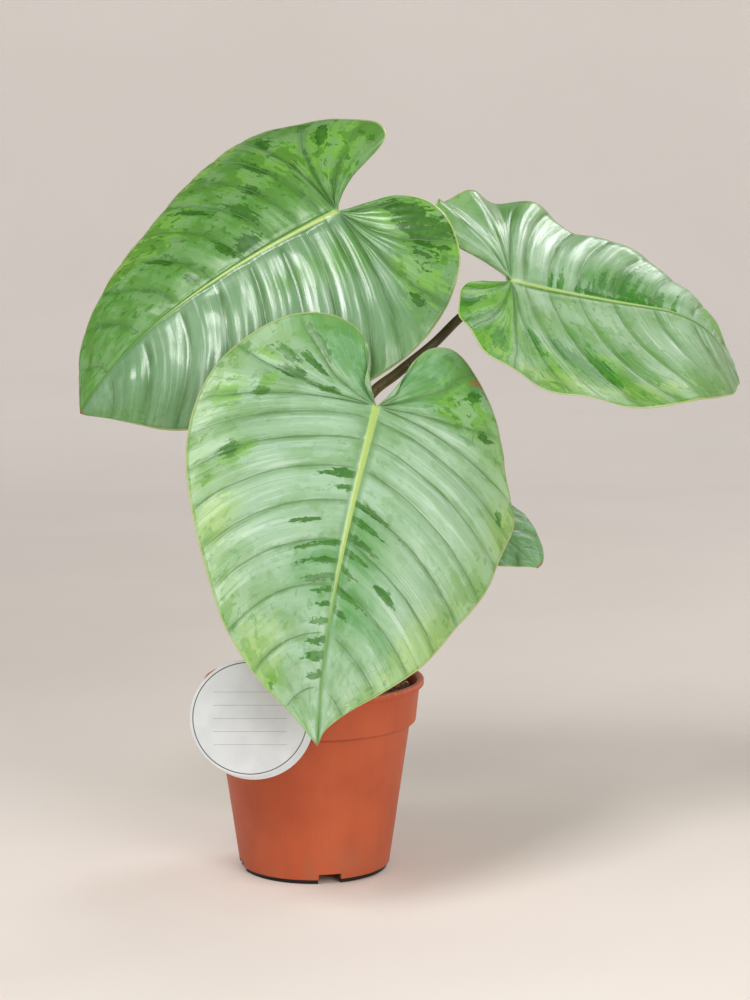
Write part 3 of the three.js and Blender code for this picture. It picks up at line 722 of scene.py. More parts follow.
# Stalks: round, a little ribbed, thicker at the root and swollen again below the blade
stalk = {"sides": 28, "steps": 170, "narrowing": 0.8, "rib": 0.03, "ribCounts": (5, 8, 13), "ribTwist": 3,
         "knee": 0.12, "kneeAt": 0.955, "kneeLength": 0.028, "endAt": 0.98, "endLength": 0.02,
         "endShrink": 0.4, "seatAlong": 3.5, "seatDrop": 0.75, "run": (-2.4, 0, -8)}
stalks = {
    "left": {"radii": (4.4, 2.9), "points": [
        (-8.4, 8.4, 84), (-8.8, 9.3, 114), (-5, 24, 190), (3, 39, 262), (11, 51, 320), (14, 53.5, 339)]},
    "front": {"radii": (4.3, 2.9), "points": [
        (2.4, -11.5, 84), (3, -11.4, 114), (8, -13, 170), (17, -13, 212), (26, -13, 237)]},
    "right": {"radii": (4.2, 2.3), "points": [
        (11.7, -2, 84), (11.7, -2, 114), (15, 1, 190), (29, 6, 256), (46, 10, 271), (65, 15, 286),
        (81, 22, 301), (92, 29.5, 307.5)]},
    "small": {"radii": (3, 1.8), "points": [(4, 10.6, 84), (4.8, 11.4, 114), (20, 20, 160), (46, 21, 187)]},
}


def sweepRod(line, radiusAt, sides):  # vertices and faces of a closed rod along a line of points
    steps = len(line) - 1
    tangent = np.gradient(line, axis=0)
    tangent /= np.linalg.norm(tangent, axis=1)[:, None]
    normal = np.cross(tangent[0], (0.3, 0.9, 0.1))
    normal /= np.linalg.norm(normal)
    angles = np.arange(sides) / sides * math.tau
    vertices, faces = [], []
    for i, (place, way) in enumerate(zip(line, tangent)):
        normal = normal - way * normal.dot(way)
        normal /= np.linalg.norm(normal)
        binormal = np.cross(way, normal)
        ring = np.cos(angles)[:, None] * normal + np.sin(angles)[:, None] * binormal
        vertices.append(place + ring * np.asarray(radiusAt(i / steps, angles))[:, None])
    for i in range(steps):
        for j in range(sides):
            k = (j + 1) % sides
            faces.append((i * sides + j, i * sides + k, (i + 1) * sides + k, (i + 1) * sides + j))
    vertices = np.vstack([*vertices, line[0], line[-1]])
    first, last = len(vertices) - 2, len(vertices) - 1
    for j in range(sides):
        k = (j + 1) % sides
        faces.append((first, k, j))
        faces.append((last, steps * sides + j, steps * sides + k))
    return vertices, faces


def stalkPiece(name, finish):
    leaf, values = leaves[name], stalks[name]
    drop = blade["thickness"] + leaf["rib"] + stalk["seatDrop"]
    seat = np.array([stalk["seatAlong"], 0, -drop])
    for bend in leaf["rolls"]:
        seat = rollSheet(seat, *bend)
    ends = np.array(leaf["junction"]) + np.array([seat + stalk["run"], seat]) @ leafAxes(leaf)
    curve = through([*values["points"], *ends])
    line = atShare(curve, np.linspace(0, 1, stalk["steps"] + 1))
    draw = np.random.default_rng(leaf["seed"])
    turns = draw.uniform(0, math.tau, 3)

    def radiusAt(along, angles):
        thick, thin = values["radii"]
        radius = thick + (thin - thick) * along ** stalk["narrowing"]
        knee = stalk["knee"] * math.exp(-(((along - stalk["kneeAt"]) / stalk["kneeLength"]) ** 2))
        twist = stalk["ribTwist"] * along
        ribs = sum(np.cos(n * angles + t + twist) for n, t in zip(stalk["ribCounts"], turns)) / 3
        end = 1 - stalk["endShrink"] * max(0, (along - stalk["endAt"]) / stalk["endLength"]) ** 2
        return radius * (1 + knee + stalk["rib"] * ribs) * end

    vertices, faces = sweepRod(line, radiusAt, stalk["sides"])
    return addPiece(f"stalk_{name}", vertices, faces, finish)


def stalkFinish():
    material, start, shader = startFinish("leaf_stalk")
    place = start.objectPlace()
    long = place.stretched(1, 1, 0.12)
    streak = long.grain(420, 4, 0.6)
    cloud = place.grain(38, 3)
    spot = place.stretched(1, 1, 0.45).cells(420).ramp(0.10, 0.26, 1, 0) * place.grain(160).ramp(0.45, 0.6)
    body = cloud.ramp(0.3, 0.7).tint(paint(104, 90, 54), paint(136, 120, 78))
    body = (streak.ramp(0.45, 0.7) * 0.5).tint(body, paint(78, 60, 36))
    height = place.parts()[2]
    body = (height.ramp(0.26, 0.29) * 0.8).tint(body, paint(62, 54, 28))
    body = (height.ramp(0.10, 0.16, 1, 0) * 0.6).tint(body, paint(112, 76, 50))
    body = (spot * 0.75).tint(body, paint(176, 162, 110))
    endFinish(start, shader, body, 0.40 + streak * 0.22, streak * 0.5 + spot * 0.8, 0.5, 0.8)
    return material


stalkLook = stalkFinish()
for name in stalks:
    settle(stalkPiece(name, stalkLook), "leaf_stalk", f"petiole_{name}")
print("stalks made")


# Stem: short, ringed where old leaves stood, with dry sheaths round the stalks' feet
stem = {"foot": 80, "height": 128, "level": 99.5, "radius": 6.4, "taper": 0.3, "lean": (-1, 1),
        "nodes": 5, "ring": 0.55, "ringWidth": 0.022, "roundAt": 0.94, "roundLength": 0.06, "blunt": 0.05,
        "sides": 40, "steps": 110}
sheath = {"foot": 101, "length": 30, "lengthShares": (0.7, 1.1), "droop": 1.5, "halfTurn": 1.0, "gap": 0.9,
          "thickness": 0.35, "flare": 2.2, "wave": 0.25, "steps": 18}


def stemPiece(finish):
    middle = (stem["level"] + stem["height"]) / 2
    lean = stem["lean"]
    curve = through([(0, 0, stem["foot"]), (0, 0, stem["level"]), (lean[0] / 2, lean[1] / 2, middle),
                     (lean[0], lean[1], stem["height"])])
    line = atShare(curve, np.linspace(0, 1, stem["steps"] + 1))
    rings = (np.arange(stem["nodes"]) + 0.4) / stem["nodes"]

    def radiusAt(along, angles):
        ring = sum(math.exp(-(((along - r) / stem["ringWidth"]) ** 2)) for r in rings)
        wave = 0.12 * np.sin(7 * angles + 9 * along) + 0.1 * np.sin(3 * angles - 20 * along)
        tip = math.sqrt(max(stem["blunt"], 1 - max(0, (along - stem["roundAt"]) / stem["roundLength"]) ** 2))
        plain = stem["radius"] * (1 - stem["taper"] * along**3)
        return (plain + stem["ring"] * (ring - 0.6) + wave) * tip

    vertices, faces = sweepRod(line, radiusAt, stem["sides"])
    return addPiece("ringed_stem", vertices, faces, finish)


def sheathPiece(finish):  # a papery scale behind each stalk's foot, open to the front
    steps = sheath["steps"]
    vertices, faces = [], []
    for name, values in stalks.items():
        foot = np.array(values["points"][1], float)
        radius = values["radii"][0] + sheath["gap"]
        facing = math.atan2(foot[1], foot[0])
        draw = np.random.default_rng(leaves[name]["seed"])
        tall = sheath["length"] * draw.uniform(*sheath["lengthShares"])
        at = len(vertices) + np.arange((steps + 1) ** 2).reshape(steps + 1, steps + 1)
        outer = at + (steps + 1) ** 2
        for skin in (0, 1):
            for up in np.arange(steps + 1) / steps:
                for across in 2 * np.arange(steps + 1) / steps - 1:
                    turn = facing + across * sheath["halfTurn"] * (1 - up**2) ** 0.5
                    flare = sheath["flare"] * up**2 + sheath["wave"] * math.sin(9 * across + 7 * up)
                    r = radius + flare + skin * sheath["thickness"]
                    lift = sheath["foot"] + up * tall - sheath["droop"] * across**2
                    vertices.append((foot[0] + r * math.cos(turn), foot[1] + r * math.sin(turn), lift))
        for a, b, c, d in (
            (at[:-1, :-1], at[1:, :-1], at[1:, 1:], at[:-1, 1:]),
            (outer[:-1, 1:], outer[1:, 1:], outer[1:, :-1], outer[:-1, :-1]),
        ):
            faces += np.stack([a, b, c, d], -1).reshape(-1, 4).tolist()
        edges = ((at[0], outer[0]), (at[:, -1], outer[:, -1]), (outer[-1], at[-1]), (outer[:, 0], at[:, 0]))
        for a, b in edges:
            faces += np.stack([a[:-1], a[1:], b[1:], b[:-1]], -1).tolist()
    piece = addPiece("stem_sheaths", vertices, faces, finish)
    mend(piece, seamWidth, turning=True)
    return piece


def barkFinish(name, dark, light):
    material, start, shader = startFinish(name)
    place = start.objectPlace()
    fibre = place.stretched(1, 1, 0.15).grain(520, 5, 0.65)
    cloud = place.grain(90, 3)
    body = (fibre * 0.6 + cloud * 0.4).ramp(0.35, 0.65).tint(dark, light)
    endFinish(start, shader, body, 0.62 + fibre * 0.25, fibre, 0.5, 0.9)
    return material


settle(stemPiece(barkFinish("stem_bark", paint(62, 50, 26), paint(112, 98, 56))), "stem_bark", "stem")
settle(sheathPiece(barkFinish("dry_sheath", paint(96, 66, 38), paint(160, 126, 82))), "stem_bark")
print("stem made")


# Pot: a turned section with rounded corners, then notches in its foot and drain holes in its floor
pot = {
    "height": 105, "lipRadius": 60, "lipHeight": 3.4, "collarTop": 57.7, "collarFoot": 55.6,
    "collarHeight": 23.2, "bodyTop": 52.6, "bodyFoot": 41.2, "wall": 1.4, "skirt": 2.4, "footRing": 39.9,
    "footRingWidth": 2.2, "restRadius": 22, "channelHeight": 4.6, "turns": 200, "sharpFrom": 38,
}
potOpenings = {  # inputs of the node tree: counts, lengths, and the heading of the first one
    "Notch Count": 4, "Notch Ring": pot["footRing"], "Notch First": -77, "Notch Width": 12.4,
    "Notch Height": 5.6, "Notch Depth": 12,
    "Hole Count": 8, "Hole Ring": 30, "Hole First": 22.5, "Hole Radius": 3.2,
}
potLook = {"innerFoot": 40.5, "innerLean": 0.1455, "inside": (90, 95), "dirt": (99, 103), "dust": (4, 30),
           "grooveAt": 81.6, "foot": (2.1, 2.6), "lipHighlightAt": 104.2}


def potSection():  # (radius, height, corner radius)
    p = pot
    collar, under = p["height"] - p["collarHeight"], p["height"] - p["lipHeight"]
    foot = p["bodyFoot"] - p["wall"]
    floor, ring = p["channelHeight"] + p["wall"], p["footRing"] - p["footRingWidth"]
    return [
        (0, 0, 0), (p["restRadius"], 0, 0.8), (p["restRadius"] + 2, p["channelHeight"], 0.8),
        (ring - 1.2, p["channelHeight"], 0.8), (ring, 0, 0.5), (p["footRing"], 0, 0.5),
        (p["footRing"], p["skirt"], 0.3), (p["bodyFoot"], p["skirt"], 0.5),
        (p["bodyTop"], collar - 0.4, 0.5), (p["collarFoot"], collar, 0.7),
        (p["collarTop"], under - 0.4, 0.5), (p["lipRadius"], under, 0.6),
        (p["lipRadius"], p["height"], 1.5), (p["collarTop"] - 0.2, p["height"], 0.7),
        (p["collarTop"] - p["wall"], p["height"] - 1.4, 0.7), (p["collarFoot"] - p["wall"], collar + 1, 0.7),
        (p["bodyTop"] - p["wall"], collar - 2, 0.7), (foot, floor + 1, 1.2), (foot - 2.4, floor, 1.2),
        (p["restRadius"] + 1, floor, 0.8), (p["restRadius"] - 1, p["wall"], 0.8), (0, p["wall"], 0),
    ]


def roundCorners(section, steps=5):
    line = []
    for i, (r, z, radius) in enumerate(section):
        here = np.array([r, z], float)
        if radius == 0 or i in (0, len(section) - 1):
            line.append(here)
            continue
        before, after = np.array(section[i - 1][:2], float), np.array(section[i + 1][:2], float)
        inward, onward = before - here, after - here
        inLength, outLength = np.linalg.norm(inward), np.linalg.norm(onward)
        inward, onward = inward / inLength, onward / outLength
        half = math.acos(np.clip(inward.dot(onward), -1, 1)) / 2
        back = min(radius / math.tan(half), inLength * 0.45, outLength * 0.45)
        start, end = here + inward * back, here + onward * back
        for t in np.linspace(0, 1, steps):
            line.append((1 - t) ** 2 * start + 2 * t * (1 - t) * here + t * t * end)
    return np.array(line)


def turnedMesh(line, turns):  # a section that starts and ends on the axis, turned round Z
    angles = np.arange(turns) / turns * math.tau
    ring = np.stack([np.cos(angles), np.sin(angles)], -1)
    inner = line[1:-1]
    vertices = [np.column_stack([ring * r, np.full(turns, z)]) for r, z in inner]
    vertices = np.vstack([*vertices, [(0, 0, line[0][1])], [(0, 0, line[-1][1])]])
    at = np.arange(len(inner) * turns).reshape(len(inner), turns)
    beside = np.roll(at, -1, axis=1)
    faces = np.stack([at[:-1], beside[:-1], beside[1:], at[1:]], -1).reshape(-1, 4).tolist()
    low, high = len(vertices) - 2, len(vertices) - 1
    faces += [(low, int(b), int(a)) for a, b in zip(at[0], beside[0])]
    faces += [(high, int(a), int(b)) for a, b in zip(at[-1], beside[-1])]
    return vertices, faces


# Node trees for what repeats
wholeNumber, number = "NodeSocketInt", "NodeSocketFloat"


def startTree(name, inputs):
    tree = bpy.data.node_groups.new(name, "GeometryNodeTree")
    tree.interface.new_socket("Geometry", in_out="INPUT", socket_type="NodeSocketGeometry")
    for label, kind in inputs.items():
        tree.interface.new_socket(label, in_out="INPUT", socket_type=kind)
    tree.interface.new_socket("Geometry", in_out="OUTPUT", socket_type="NodeSocketGeometry")
    entry = tree.nodes.new("NodeGroupInput")
    given = {socket.name: Wire(tree, socket) for socket in entry.outputs if socket.name}
    return tree, given


def endTree(tree, geometry, finish):
    real = geometry.add("GeometryNodeRealizeInstances", sockets={0: geometry})
    dressed = real.add("GeometryNodeSetMaterial", sockets={0: real, "Material": finish})
    leave = tree.nodes.new("NodeGroupOutput")
    tree.links.new(dressed.socket, leave.inputs[0])


def growMesh(source, tree, values, name):  # what the tree makes on a source piece, as a plain piece
    modifier = source.modifiers.new("grow", "NODES")
    modifier.node_group = tree
    for item in tree.interface.items_tree:
        if item.in_out == "INPUT" and item.name in values:
            modifier[item.identifier] = values[item.name]
    graph = bpy.context.evaluated_depsgraph_get()
    mesh = bpy.data.meshes.new_from_object(
        source.evaluated_get(graph), preserve_all_data_layers=True, depsgraph=graph)
    source.modifiers.remove(modifier)
    mesh.name = name
    piece = bpy.data.objects.new(name, mesh)
    bpy.context.scene.collection.objects.link(piece)
    return piece


def ringOfCutters(given, kind):  # shapes round a circle, each turned to face outwards
    start = given["Geometry"]
    count, first = given[f"{kind} Count"], given[f"{kind} First"]
    circle = start.add("GeometryNodeMeshCircle", sockets={"Vertices": count, "Radius": given[f"{kind} Ring"]})
    turned = circle.add("GeometryNodeTransform", sockets={
        "Geometry": circle, "Rotation": start.join(z=first)})
    heading = first + circle.add("GeometryNodeInputIndex") * math.tau / count
    if kind == "Notch":
        size = start.join(given["Notch Depth"], given["Notch Width"], given["Notch Height"] * 2)
        shape = circle.add("GeometryNodeMeshCube", sockets={"Size": size})
    else:
        shape = circle.add("GeometryNodeMeshCylinder", sockets={
            "Vertices": 36, "Radius": given["Hole Radius"], "Depth": 20 * mm})
    return circle.add("GeometryNodeInstanceOnPoints", sockets={
        "Points": turned, "Instance": shape, "Rotation": start.join(z=heading)})


def potTree(finish):
    inputs = {name: wholeNumber if name.endswith("Count") else number for name in potOpenings}
    tree, given = startTree("pot openings", inputs)
    body = given["Geometry"]
    for kind in ("Notch", "Hole"):
        cutters = ringOfCutters(given, kind)
        cutters = cutters.add("GeometryNodeRealizeInstances", sockets={0: cutters})
        body = body.add("GeometryNodeMeshBoolean", {"operation": "DIFFERENCE", "solver": "MANIFOLD"},
                        {"Mesh 1": body, "Mesh 2": cutters})
    endTree(tree, body, finish)
    return tree


def potPiece(finish):
    vertices, faces = turnedMesh(roundCorners(potSection()), pot["turns"])
    blank = addPiece("pot_blank", vertices, faces, finish)
    units = {"Count": 1, "First": math.radians(1)}
    values = {name: value * units.get(name.split()[1], mm) for name, value in potOpenings.items()}
    piece = growMesh(blank, potTree(finish), values, "nursery_pot")
    bpy.data.objects.remove(blank)
    shadeSmooth(piece)
    sharpen(piece, pot["sharpFrom"])
    return piece


def potFinish():
    material, start, shader = startFinish("terracotta_plastic")
    heights = {k: (v[0] * mm, v[1] * mm) for k, v in potLook.items() if isinstance(v, tuple)}
    place = start.objectPlace()
    x, y, z = place.parts()
    cloud = place.grain(14, 3, 0.6)
    speck = place.grain(900, 3, 0.6)
    run = place.stretched(1, 1, 0.08).grain(160, 3, 0.6)
    body = cloud.ramp(0.3, 0.7).tint(paint(170, 76, 44), paint(188, 92, 56))
    body = (run.ramp(0.5, 0.75) * 0.25).tint(body, paint(160, 70, 44))
    body = (speck.ramp(0.62, 0.75) * 0.18).tint(body, paint(212, 128, 96))
    radius = (x * x + y * y) ** 0.5
    wallMiddle = potLook["innerFoot"] * mm + z * potLook["innerLean"]
    inside = (radius - wallMiddle).ramp(-0.4 * mm, 0.0, 1, 0) * z.ramp(*heights["inside"])
    dirt = (cloud * 0.5 + speck * 0.5).ramp(0.4, 0.62) * z.ramp(*heights["dirt"], 1, 0.2)
    body = (inside * dirt * 0.8).tint(body, paint(60, 42, 30))
    dust = (run * 0.5 + cloud * 0.5).ramp(0.52, 0.68) * z.ramp(*heights["dust"], 1, 0) * 0.35
    body = dust.tint(body, paint(150, 116, 92))
    # a dark line just under the collar's step: painted shadow of the collar
    groove = z.near(potLook["grooveAt"] * mm, 0.1 * mm, 0.9 * mm) * 0.55
    body = groove.tint(body, paint(86, 34, 22))
    # near-black below the skirt: painted shade in the recessed foot ring, with a darker foot
    foot = z.ramp(*heights["foot"], 1, 0)
    body = foot.tint(body, paint(30, 24, 22))
    # a pale pink band round the lip's rounded top: painted highlight
    lipHighlight = z.near(potLook["lipHighlightAt"] * mm, 0.0, 1.2 * mm) * speck.ramp(0.4, 0.6) * 0.4
    body = lipHighlight.tint(body, paint(220, 150, 124))
    endFinish(start, shader, body, 0.44 + run * 0.10 + dust * 0.4, speck * 0.5 + run * 0.5, 0.12, 0.6)
    shader.inputs["Specular IOR Level"].default_value = 0.3
    return material


settle(potPiece(potFinish()), "terracotta_plastic", "pot")
print("pot made")


# Soil: the filled pot, crumbly on top, with crumbs, bark, fibres and grit strewn over it
soil = {"floor": 7.3, "wall": [(38, 7.3), (39.5, 8.8), (50.6, 79.8), (53.6, 83.4), (53.9, 98.5)],
        "level": 99.5, "crown": 4.5, "edge": 52.4, "rings": 40, "turns": 150, "lump": 1.3, "lumpScale": 0.16}


def soilPiece(finish):
    line = [(0, soil["floor"]), *soil["wall"]]
    for out in np.arange(soil["rings"] - 1, -1, -1) / soil["rings"]:
        line.append((soil["edge"] * out, soil["level"] + soil["crown"] * (1 - out * out)))
    vertices, faces = turnedMesh(np.array(line, float), soil["turns"])
    for vertex in vertices:
        if vertex[2] > soil["level"]:
            rough = noise.turbulence(Vector(vertex) * soil["lumpScale"], 4, False) * 1.6 - 0.9
            vertex[2] += soil["lump"] * rough
    return addPiece("soil_bed", vertices, faces, finish)


def strewnTree(name, finish, shape):  # copies of a shape on the soil's top, each turned and sized at random
    inputs = dict.fromkeys(("Count", "Smallest", "Largest", "Flatness", "Lift", "Reach"), number)
    tree, given = startTree(name, {**inputs, "Seed": wholeNumber})
    bed, seed = given["Geometry"], given["Seed"]
    x, y, z = bed.add("GeometryNodeInputPosition").parts()
    onTop = z.maths("GREATER_THAN", z, (soil["level"] - 0.8) * mm)
    out = (x * x + y * y) ** 0.5
    within = out.maths("LESS_THAN", out, given["Reach"])
    points = bed.add("GeometryNodeDistributePointsOnFaces", sockets={
        "Mesh": bed, "Selection": onTop * within, "Density": given["Count"], "Seed": seed})
    low, high = (-0.35, 0.35) if shape is fibreShape else (0, math.tau)
    turn = bed.add("FunctionNodeRandomValue", {"data_type": "FLOAT_VECTOR"}, {
        0: (low, low, 0), 1: (high, high, math.tau), "Seed": seed})
    size = bed.add("FunctionNodeRandomValue", {"data_type": "FLOAT"}, {
        2: given["Smallest"], 3: given["Largest"], "Seed": seed}, 1)
    lifted = points.add("GeometryNodeSetPosition", sockets={
        "Geometry": points, "Offset": bed.join(z=given["Lift"])})
    placed = bed.add("GeometryNodeInstanceOnPoints", sockets={
        "Points": lifted, "Instance": shape(bed), "Rotation": turn,
        "Scale": bed.join(size, size, size * given["Flatness"])})
    endTree(tree, placed, finish)
    return tree


def dented(shape, scale, depth):
    place = shape.add("GeometryNodeInputPosition")
    dent = (place.grain(scale, 2, 0.6) - 0.5) * depth
    push = place.add("ShaderNodeVectorMath", {"operation": "SCALE"}, {0: place, "Scale": dent})
    return shape.add("GeometryNodeSetPosition", sockets={"Geometry": shape, "Offset": push})


def crumbShape(bed):
    return dented(bed.add("GeometryNodeMeshIcoSphere", sockets={"Radius": 1.0, "Subdivisions": 2}), 1.4, 1.3)


def chipShape(bed):
    box = bed.add("GeometryNodeMeshCube", sockets={
        "Size": (2.0, 1.2, 0.8), "Vertices X": 4, "Vertices Y": 3, "Vertices Z": 2})
    return dented(box, 1.1, 1.2)


def fibreShape(bed):
    line = bed.add("GeometryNodeCurveArc", sockets={"Resolution": 9, "Radius": 1.0, "Sweep Angle": 1.5})
    wire = bed.add("GeometryNodeCurvePrimitiveCircle", sockets={"Resolution": 5, "Radius": 0.035})
    return line.add("GeometryNodeCurveToMesh", sockets={
        "Curve": line, "Profile Curve": wire, "Fill Caps": True})


def soilFinish(name, dark, light, specks, roughness):
    material, start, shader = startFinish(name)
    place = start.objectPlace()
    crumb = place.grain(420, 5, 0.7)
    lump = place.cells(260)
    cloud = place.grain(70, 3)
    body = (crumb * 0.5 + cloud * 0.5).ramp(0.35, 0.65).tint(dark, light)
    body = (place.cells(620).ramp(0.05, 0.16, 1, 0) * crumb.ramp(0.5, 0.6) * 0.7).tint(body, specks)
    endFinish(start, shader, body, roughness + crumb * 0.12, crumb * 0.6 + lump * 0.4, 1.2, 0.9)
    return material


strewn = {
    "soil_crumbs": {"shape": crumbShape, "count": 210000, "smallest": 0.6, "largest": 1.9, "flatness": 0.8,
                    "lift": 0.3, "reach": 53, "seed": 2, "dark": (52, 35, 23), "light": (96, 66, 42)},
    "bark_chips": {"shape": chipShape, "count": 42000, "smallest": 1.0, "largest": 2.8, "flatness": 0.7,
                   "lift": 0.9, "reach": 52, "seed": 5, "dark": (74, 44, 27), "light": (132, 88, 54)},
    "grit": {"shape": crumbShape, "count": 9000, "smallest": 0.6, "largest": 1.5, "flatness": 0.9,
             "lift": 0.8, "reach": 52, "seed": 9, "dark": (176, 166, 148), "light": (220, 214, 200)},
    "soil_fibres": {"shape": fibreShape, "count": 26000, "smallest": 2.5, "largest": 7, "flatness": 1.0,
                    "lift": 1.0, "reach": 47, "seed": 14, "dark": (104, 58, 32), "light": (160, 104, 62)},
}

bed = soilPiece(soilFinish("potting_soil", paint(40, 27, 18), paint(84, 56, 36), paint(150, 120, 86), 0.82))
for name, values in strewn.items():
    look = soilFinish(name, paint(*values["dark"]), paint(*values["light"]), paint(170, 130, 90), 0.76)
    tree = strewnTree(name, look, values["shape"])
    lengths = {k.capitalize(): values[k] * mm for k in ("smallest", "largest", "lift", "reach")}
    lengths.update({"Count": float(values["count"]), "Flatness": values["flatness"], "Seed": values["seed"]})
    piece = growMesh(bed, tree, lengths, name)
    shadeSmooth(piece, name == "soil_fibres")
    settle(piece, "potting_soil")
settle(bed, "potting_soil", "soil")
print("soil made")


# Moss: a low cushion of short shoots at the pot's edge, behind the tag
moss = {"centre": (-41, -30, 101.5), "radius": 9, "height": 5, "domeShares": (0.75, 1), "sunk": 1.5,
        "shoots": 420, "shootLength": 3.2, "lengthShares": (0.6, 1.2), "upright": 1.1, "spread": 0.25,
        "shootRadius": 0.34, "steps": 5, "sides": 5, "seed": 8}


def mossPiece(finish):
    draw = np.random.default_rng(moss["seed"])
    vertices, faces = [], []
    for _ in range(moss["shoots"]):
        angle, out = draw.uniform(0, math.tau), draw.uniform(0, 1) ** 0.5
        dome = moss["height"] * (1 - out**2) * draw.uniform(*moss["domeShares"])
        outward = np.array([math.cos(angle) * out, math.sin(angle) * out, 0])
        foot = moss["centre"] + moss["radius"] * outward + (0, 0, dome - moss["sunk"])
        lean = outward + (0, 0, moss["upright"]) + draw.normal(0, moss["spread"], 3)
        lean /= np.linalg.norm(lean)
        reach = moss["shootLength"] * draw.uniform(*moss["lengthShares"])
        line = foot + np.linspace(0, 1, moss["steps"])[:, None] * lean * reach
        rod, sides = sweepRod(line, lambda t, a: moss["shootRadius"] * (1.1 - t) + 0 * a, moss["sides"])
        count = len(vertices) * len(rod)
        faces += [tuple(k + count for k in face) for face in sides]
        vertices.append(rod)
    return addPiece("moss", np.vstack(vertices), faces, finish)


mossLook = soilFinish("moss", paint(62, 64, 22), paint(134, 130, 58), paint(170, 160, 90), 0.7)
settle(mossPiece(mossLook), "potting_soil")
print("moss made")


# Tag: two round cards, one behind the other, on a strap bent over the lip
tag = {"radius": 31.3, "thickness": 0.9, "centre": (-31.8, -64.6, 96.5), "edge": 0.25, "turns": 160,
       "aside": 1.9, "lower": 1.6, "pressed": 0.9, "printFrom": -0.42, "printTo": -0.38, "sharpFrom": 40}
tagRing = {"radius": 29.7, "width": 0.55}
tagRules = {"count": 5, "spacing": 7, "width": 0.3, "halfLength": 19, "ends": 0.2}
strap = {"width": 8, "thickness": 1, "foot": 72, "point": 6, "pointHalfWidth": 0.8, "inside": -30.5,
         "behindTag": 8, "bendRadius": 1.2}


def tagPiece(finish):
    half, r, edge = tag["thickness"] / 2, tag["radius"], tag["edge"]
    section = [(0, -half, 0), (r, -half, edge), (r, half, edge), (0, half, 0)]
    disc, sides = turnedMesh(roundCorners(section), tag["turns"])
    disc = disc[:, [0, 2, 1]] * (1, 1, -1)  # the axis turns from Z to Y
    vertices, faces = [], []
    for aside, back, lower in ((0, 0, 0), (tag["aside"], tag["thickness"] * tag["pressed"], tag["lower"])):
        faces += [tuple(k + len(disc) * len(vertices) for k in face) for face in sides]
        vertices.append(disc + np.array(tag["centre"]) + (aside, back, -lower))
    piece = addPiece("tag", np.vstack(vertices), faces, finish)
    mend(piece, turning=True)
    sharpen(piece, tag["sharpFrom"])
    return piece


def strapPiece(finish):
    half = strap["thickness"] / 2
    middle, _, level = tag["centre"]
    front = tag["centre"][1] + tag["thickness"] * (tag["pressed"] + 0.5) + gap + half
    top = pot["height"] + gap + half
    inside = strap["inside"] + half
    corners = [(front, level - strap["behindTag"], 0), (front, top, strap["bendRadius"]),
               (inside, top, strap["bendRadius"]), (inside, strap["foot"], 0)]
    line = roundCorners(corners, 8)
    tangent = np.gradient(line, axis=0)
    tangent /= np.linalg.norm(tangent, axis=1)[:, None]
    vertices, faces = [], []
    rows = np.vstack([line[:-1], [(inside, strap["foot"] + strap["point"])], line[-1:]])
    ways = np.vstack([tangent[:-1], tangent[-1:], tangent[-1:]])
    for i, ((y, z), (dy, dz)) in enumerate(zip(rows, ways)):
        wide = strap["width"] / 2 if i < len(rows) - 1 else strap["pointHalfWidth"]
        for aside, skin in ((-wide, -half), (wide, -half), (wide, half), (-wide, half)):
            vertices.append((middle + aside, y - dz * skin, z + dy * skin))
    for i in range(len(rows) - 1):
        for j in range(4):
            k = (j + 1) % 4
            faces.append((4 * i + j, 4 * i + k, 4 * i + 4 + k, 4 * i + 4 + j))
    last = 4 * (len(rows) - 1)
    faces += [(3, 2, 1, 0), (last, last + 1, last + 2, last + 3)]
    piece = addPiece("tag_strap", vertices, faces, finish)
    mend(piece, turning=True)
    sharpen(piece, tag["sharpFrom"])
    return piece


def cardFinish(name, printed):
    material, start, shader = startFinish(name)
    place = start.objectPlace()
    x, y, z = place.parts()
    cloud = place.grain(60, 3)
    fine = place.grain(1500, 2)
    body = cloud.ramp(0.3, 0.7).tint(paint(204, 210, 214), paint(216, 221, 224))
    if printed:
        middle, front, level = (c * mm for c in tag["centre"])
        across, up = (x - middle) * 1000, (z - level) * 1000
        face = y.ramp(front + tag["printFrom"] * mm, front + tag["printTo"] * mm, 1, 0)
        away = (across * across + up * up) ** 0.5
        ring = away.near(tagRing["radius"], tagRing["width"] * 0.35, tagRing["width"] * 0.6)
        rule = up / tagRules["spacing"]
        rule = (rule - rule.maths("ROUND", rule)).size() * tagRules["spacing"]
        rule = rule.ramp(tagRules["width"] * 0.3, tagRules["width"] * 0.6, 1, 0)
        tall, long = tagRules["spacing"] * tagRules["count"] / 2, tagRules["halfLength"]
        rule = rule * across.size().ramp(long, long + tagRules["ends"], 1, 0)
        rule = rule * up.size().ramp(tall, tall + tagRules["ends"], 1, 0)
        body = (ring * face).tint(body, paint(62, 64, 66))
        body = (rule * face * 0.6).tint(body, paint(120, 124, 128))
    endFinish(start, shader, body, 0.34 + cloud * 0.12, fine + cloud, 0.06, 0.5)
    return material


settle(tagPiece(cardFinish("tag_card", True)), "tag_card", "label_disc")
settle(strapPiece(cardFinish("tag_strap", False)), "tag_card", "label_strap")
print("tag made")


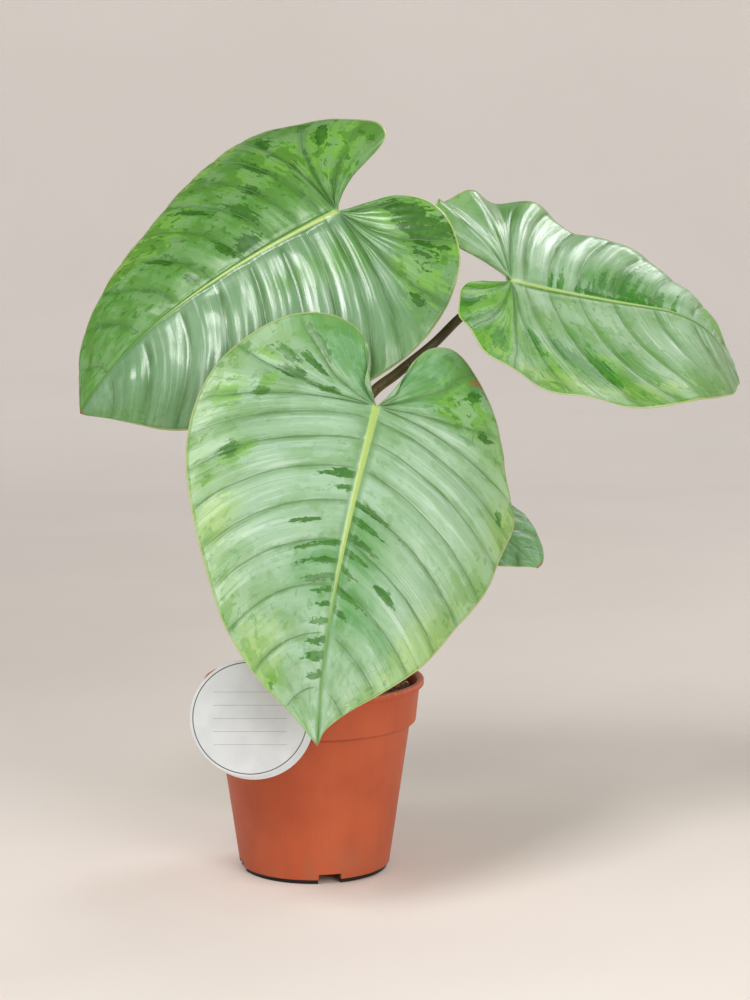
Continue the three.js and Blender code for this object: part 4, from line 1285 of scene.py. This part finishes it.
# Studio: a pale round floor that rises far away on all sides and glows a little there, and soft boxes
studio = {"floorRadius": 2900, "bend": 1600, "rise": 2800, "turns": 96, "glowFrom": 300, "glowFull": 2600,
          "glow": (0.29, 0.28, 0.27, 1), "airColour": (0.93, 0.91, 0.89, 1), "air": 0.12}
softBoxes = {"aim": (33, 0, 230), "boxes": {  # place, width and height, watts, colour
    "key_box": ((950, -1450, 800), (1000, 1000), 17.5, (1.0, 0.97, 0.94)),
    "side_box": ((-1500, -900, 1100), (900, 1300), 3.5, (0.97, 0.98, 1.0)),
    "upper_box": ((-450, -800, 1500), (600, 600), 16, (1.0, 0.99, 0.98)),
    "rear_box": ((850, 900, 1400), (600, 600), 7, (0.98, 0.99, 1.0)),
}}


def addStudio():
    material, start, shader = startFinish("studio_floor")
    place = start.objectPlace()
    x, y, z = place.parts()
    cloud = place.grain(3, 3)
    body = cloud.ramp(0.3, 0.7).tint(paint(228, 220, 212), paint(232, 224, 217))
    away = (x * x + y * y) ** 0.5
    glow = away.ramp(studio["glowFrom"] * mm, studio["glowFull"] * mm).tint((0, 0, 0, 1), studio["glow"])
    start.tree.links.new(glow.socket, shader.inputs["Emission Color"])
    shader.inputs["Emission Strength"].default_value = 1
    material.cycles.emission_sampling = "NONE"
    endFinish(start, shader, body, 0.8 + cloud * 0.1)
    wide, bend, turns = studio["floorRadius"], studio["bend"], studio["turns"]
    line = [(wide + bend * math.sin(t), bend * (1 - math.cos(t))) for t in np.linspace(0, math.pi / 2, 16)]
    line.append((wide + bend, studio["rise"]))
    angles = np.arange(turns) / turns * math.tau
    rings = [np.column_stack([r * np.cos(angles), r * np.sin(angles), z + 0 * angles]) for r, z in line]
    vertices = np.vstack([*rings, [(0, 0, 0)]])
    at = np.arange(len(line) * turns).reshape(-1, turns)
    beside = np.roll(at, -1, axis=1)
    faces = np.stack([at[1:], beside[1:], beside[:-1], at[:-1]], -1).reshape(-1, 4).tolist()
    faces += [(len(vertices) - 1, int(a), int(b)) for a, b in zip(at[0], beside[0])]
    addPiece("studio_floor", vertices, faces, material)


def addSoftBox(name, place, size, power, colour):
    data = bpy.data.lights.new(name, "AREA")
    data.shape = "RECTANGLE"
    data.size, data.size_y = size[0] * mm, size[1] * mm
    data.energy = power
    data.color = colour
    box = bpy.data.objects.new(name, data)
    box.location = Vector(place) * mm
    box.rotation_euler = (Vector(softBoxes["aim"]) - Vector(place)).to_track_quat("-Z", "Y").to_euler()
    box.visible_camera = False
    bpy.context.scene.collection.objects.link(box)


addStudio()
for name, values in softBoxes["boxes"].items():
    addSoftBox(name, *values)
world = bpy.data.worlds.new("studio_air")
world.use_nodes = True
air = world.node_tree.nodes["Background"]
air.inputs["Color"].default_value = studio["airColour"]
air.inputs["Strength"].default_value = studio["air"]
bpy.context.scene.world = world
bpy.context.scene.view_settings.view_transform = "Standard"
print("studio made")
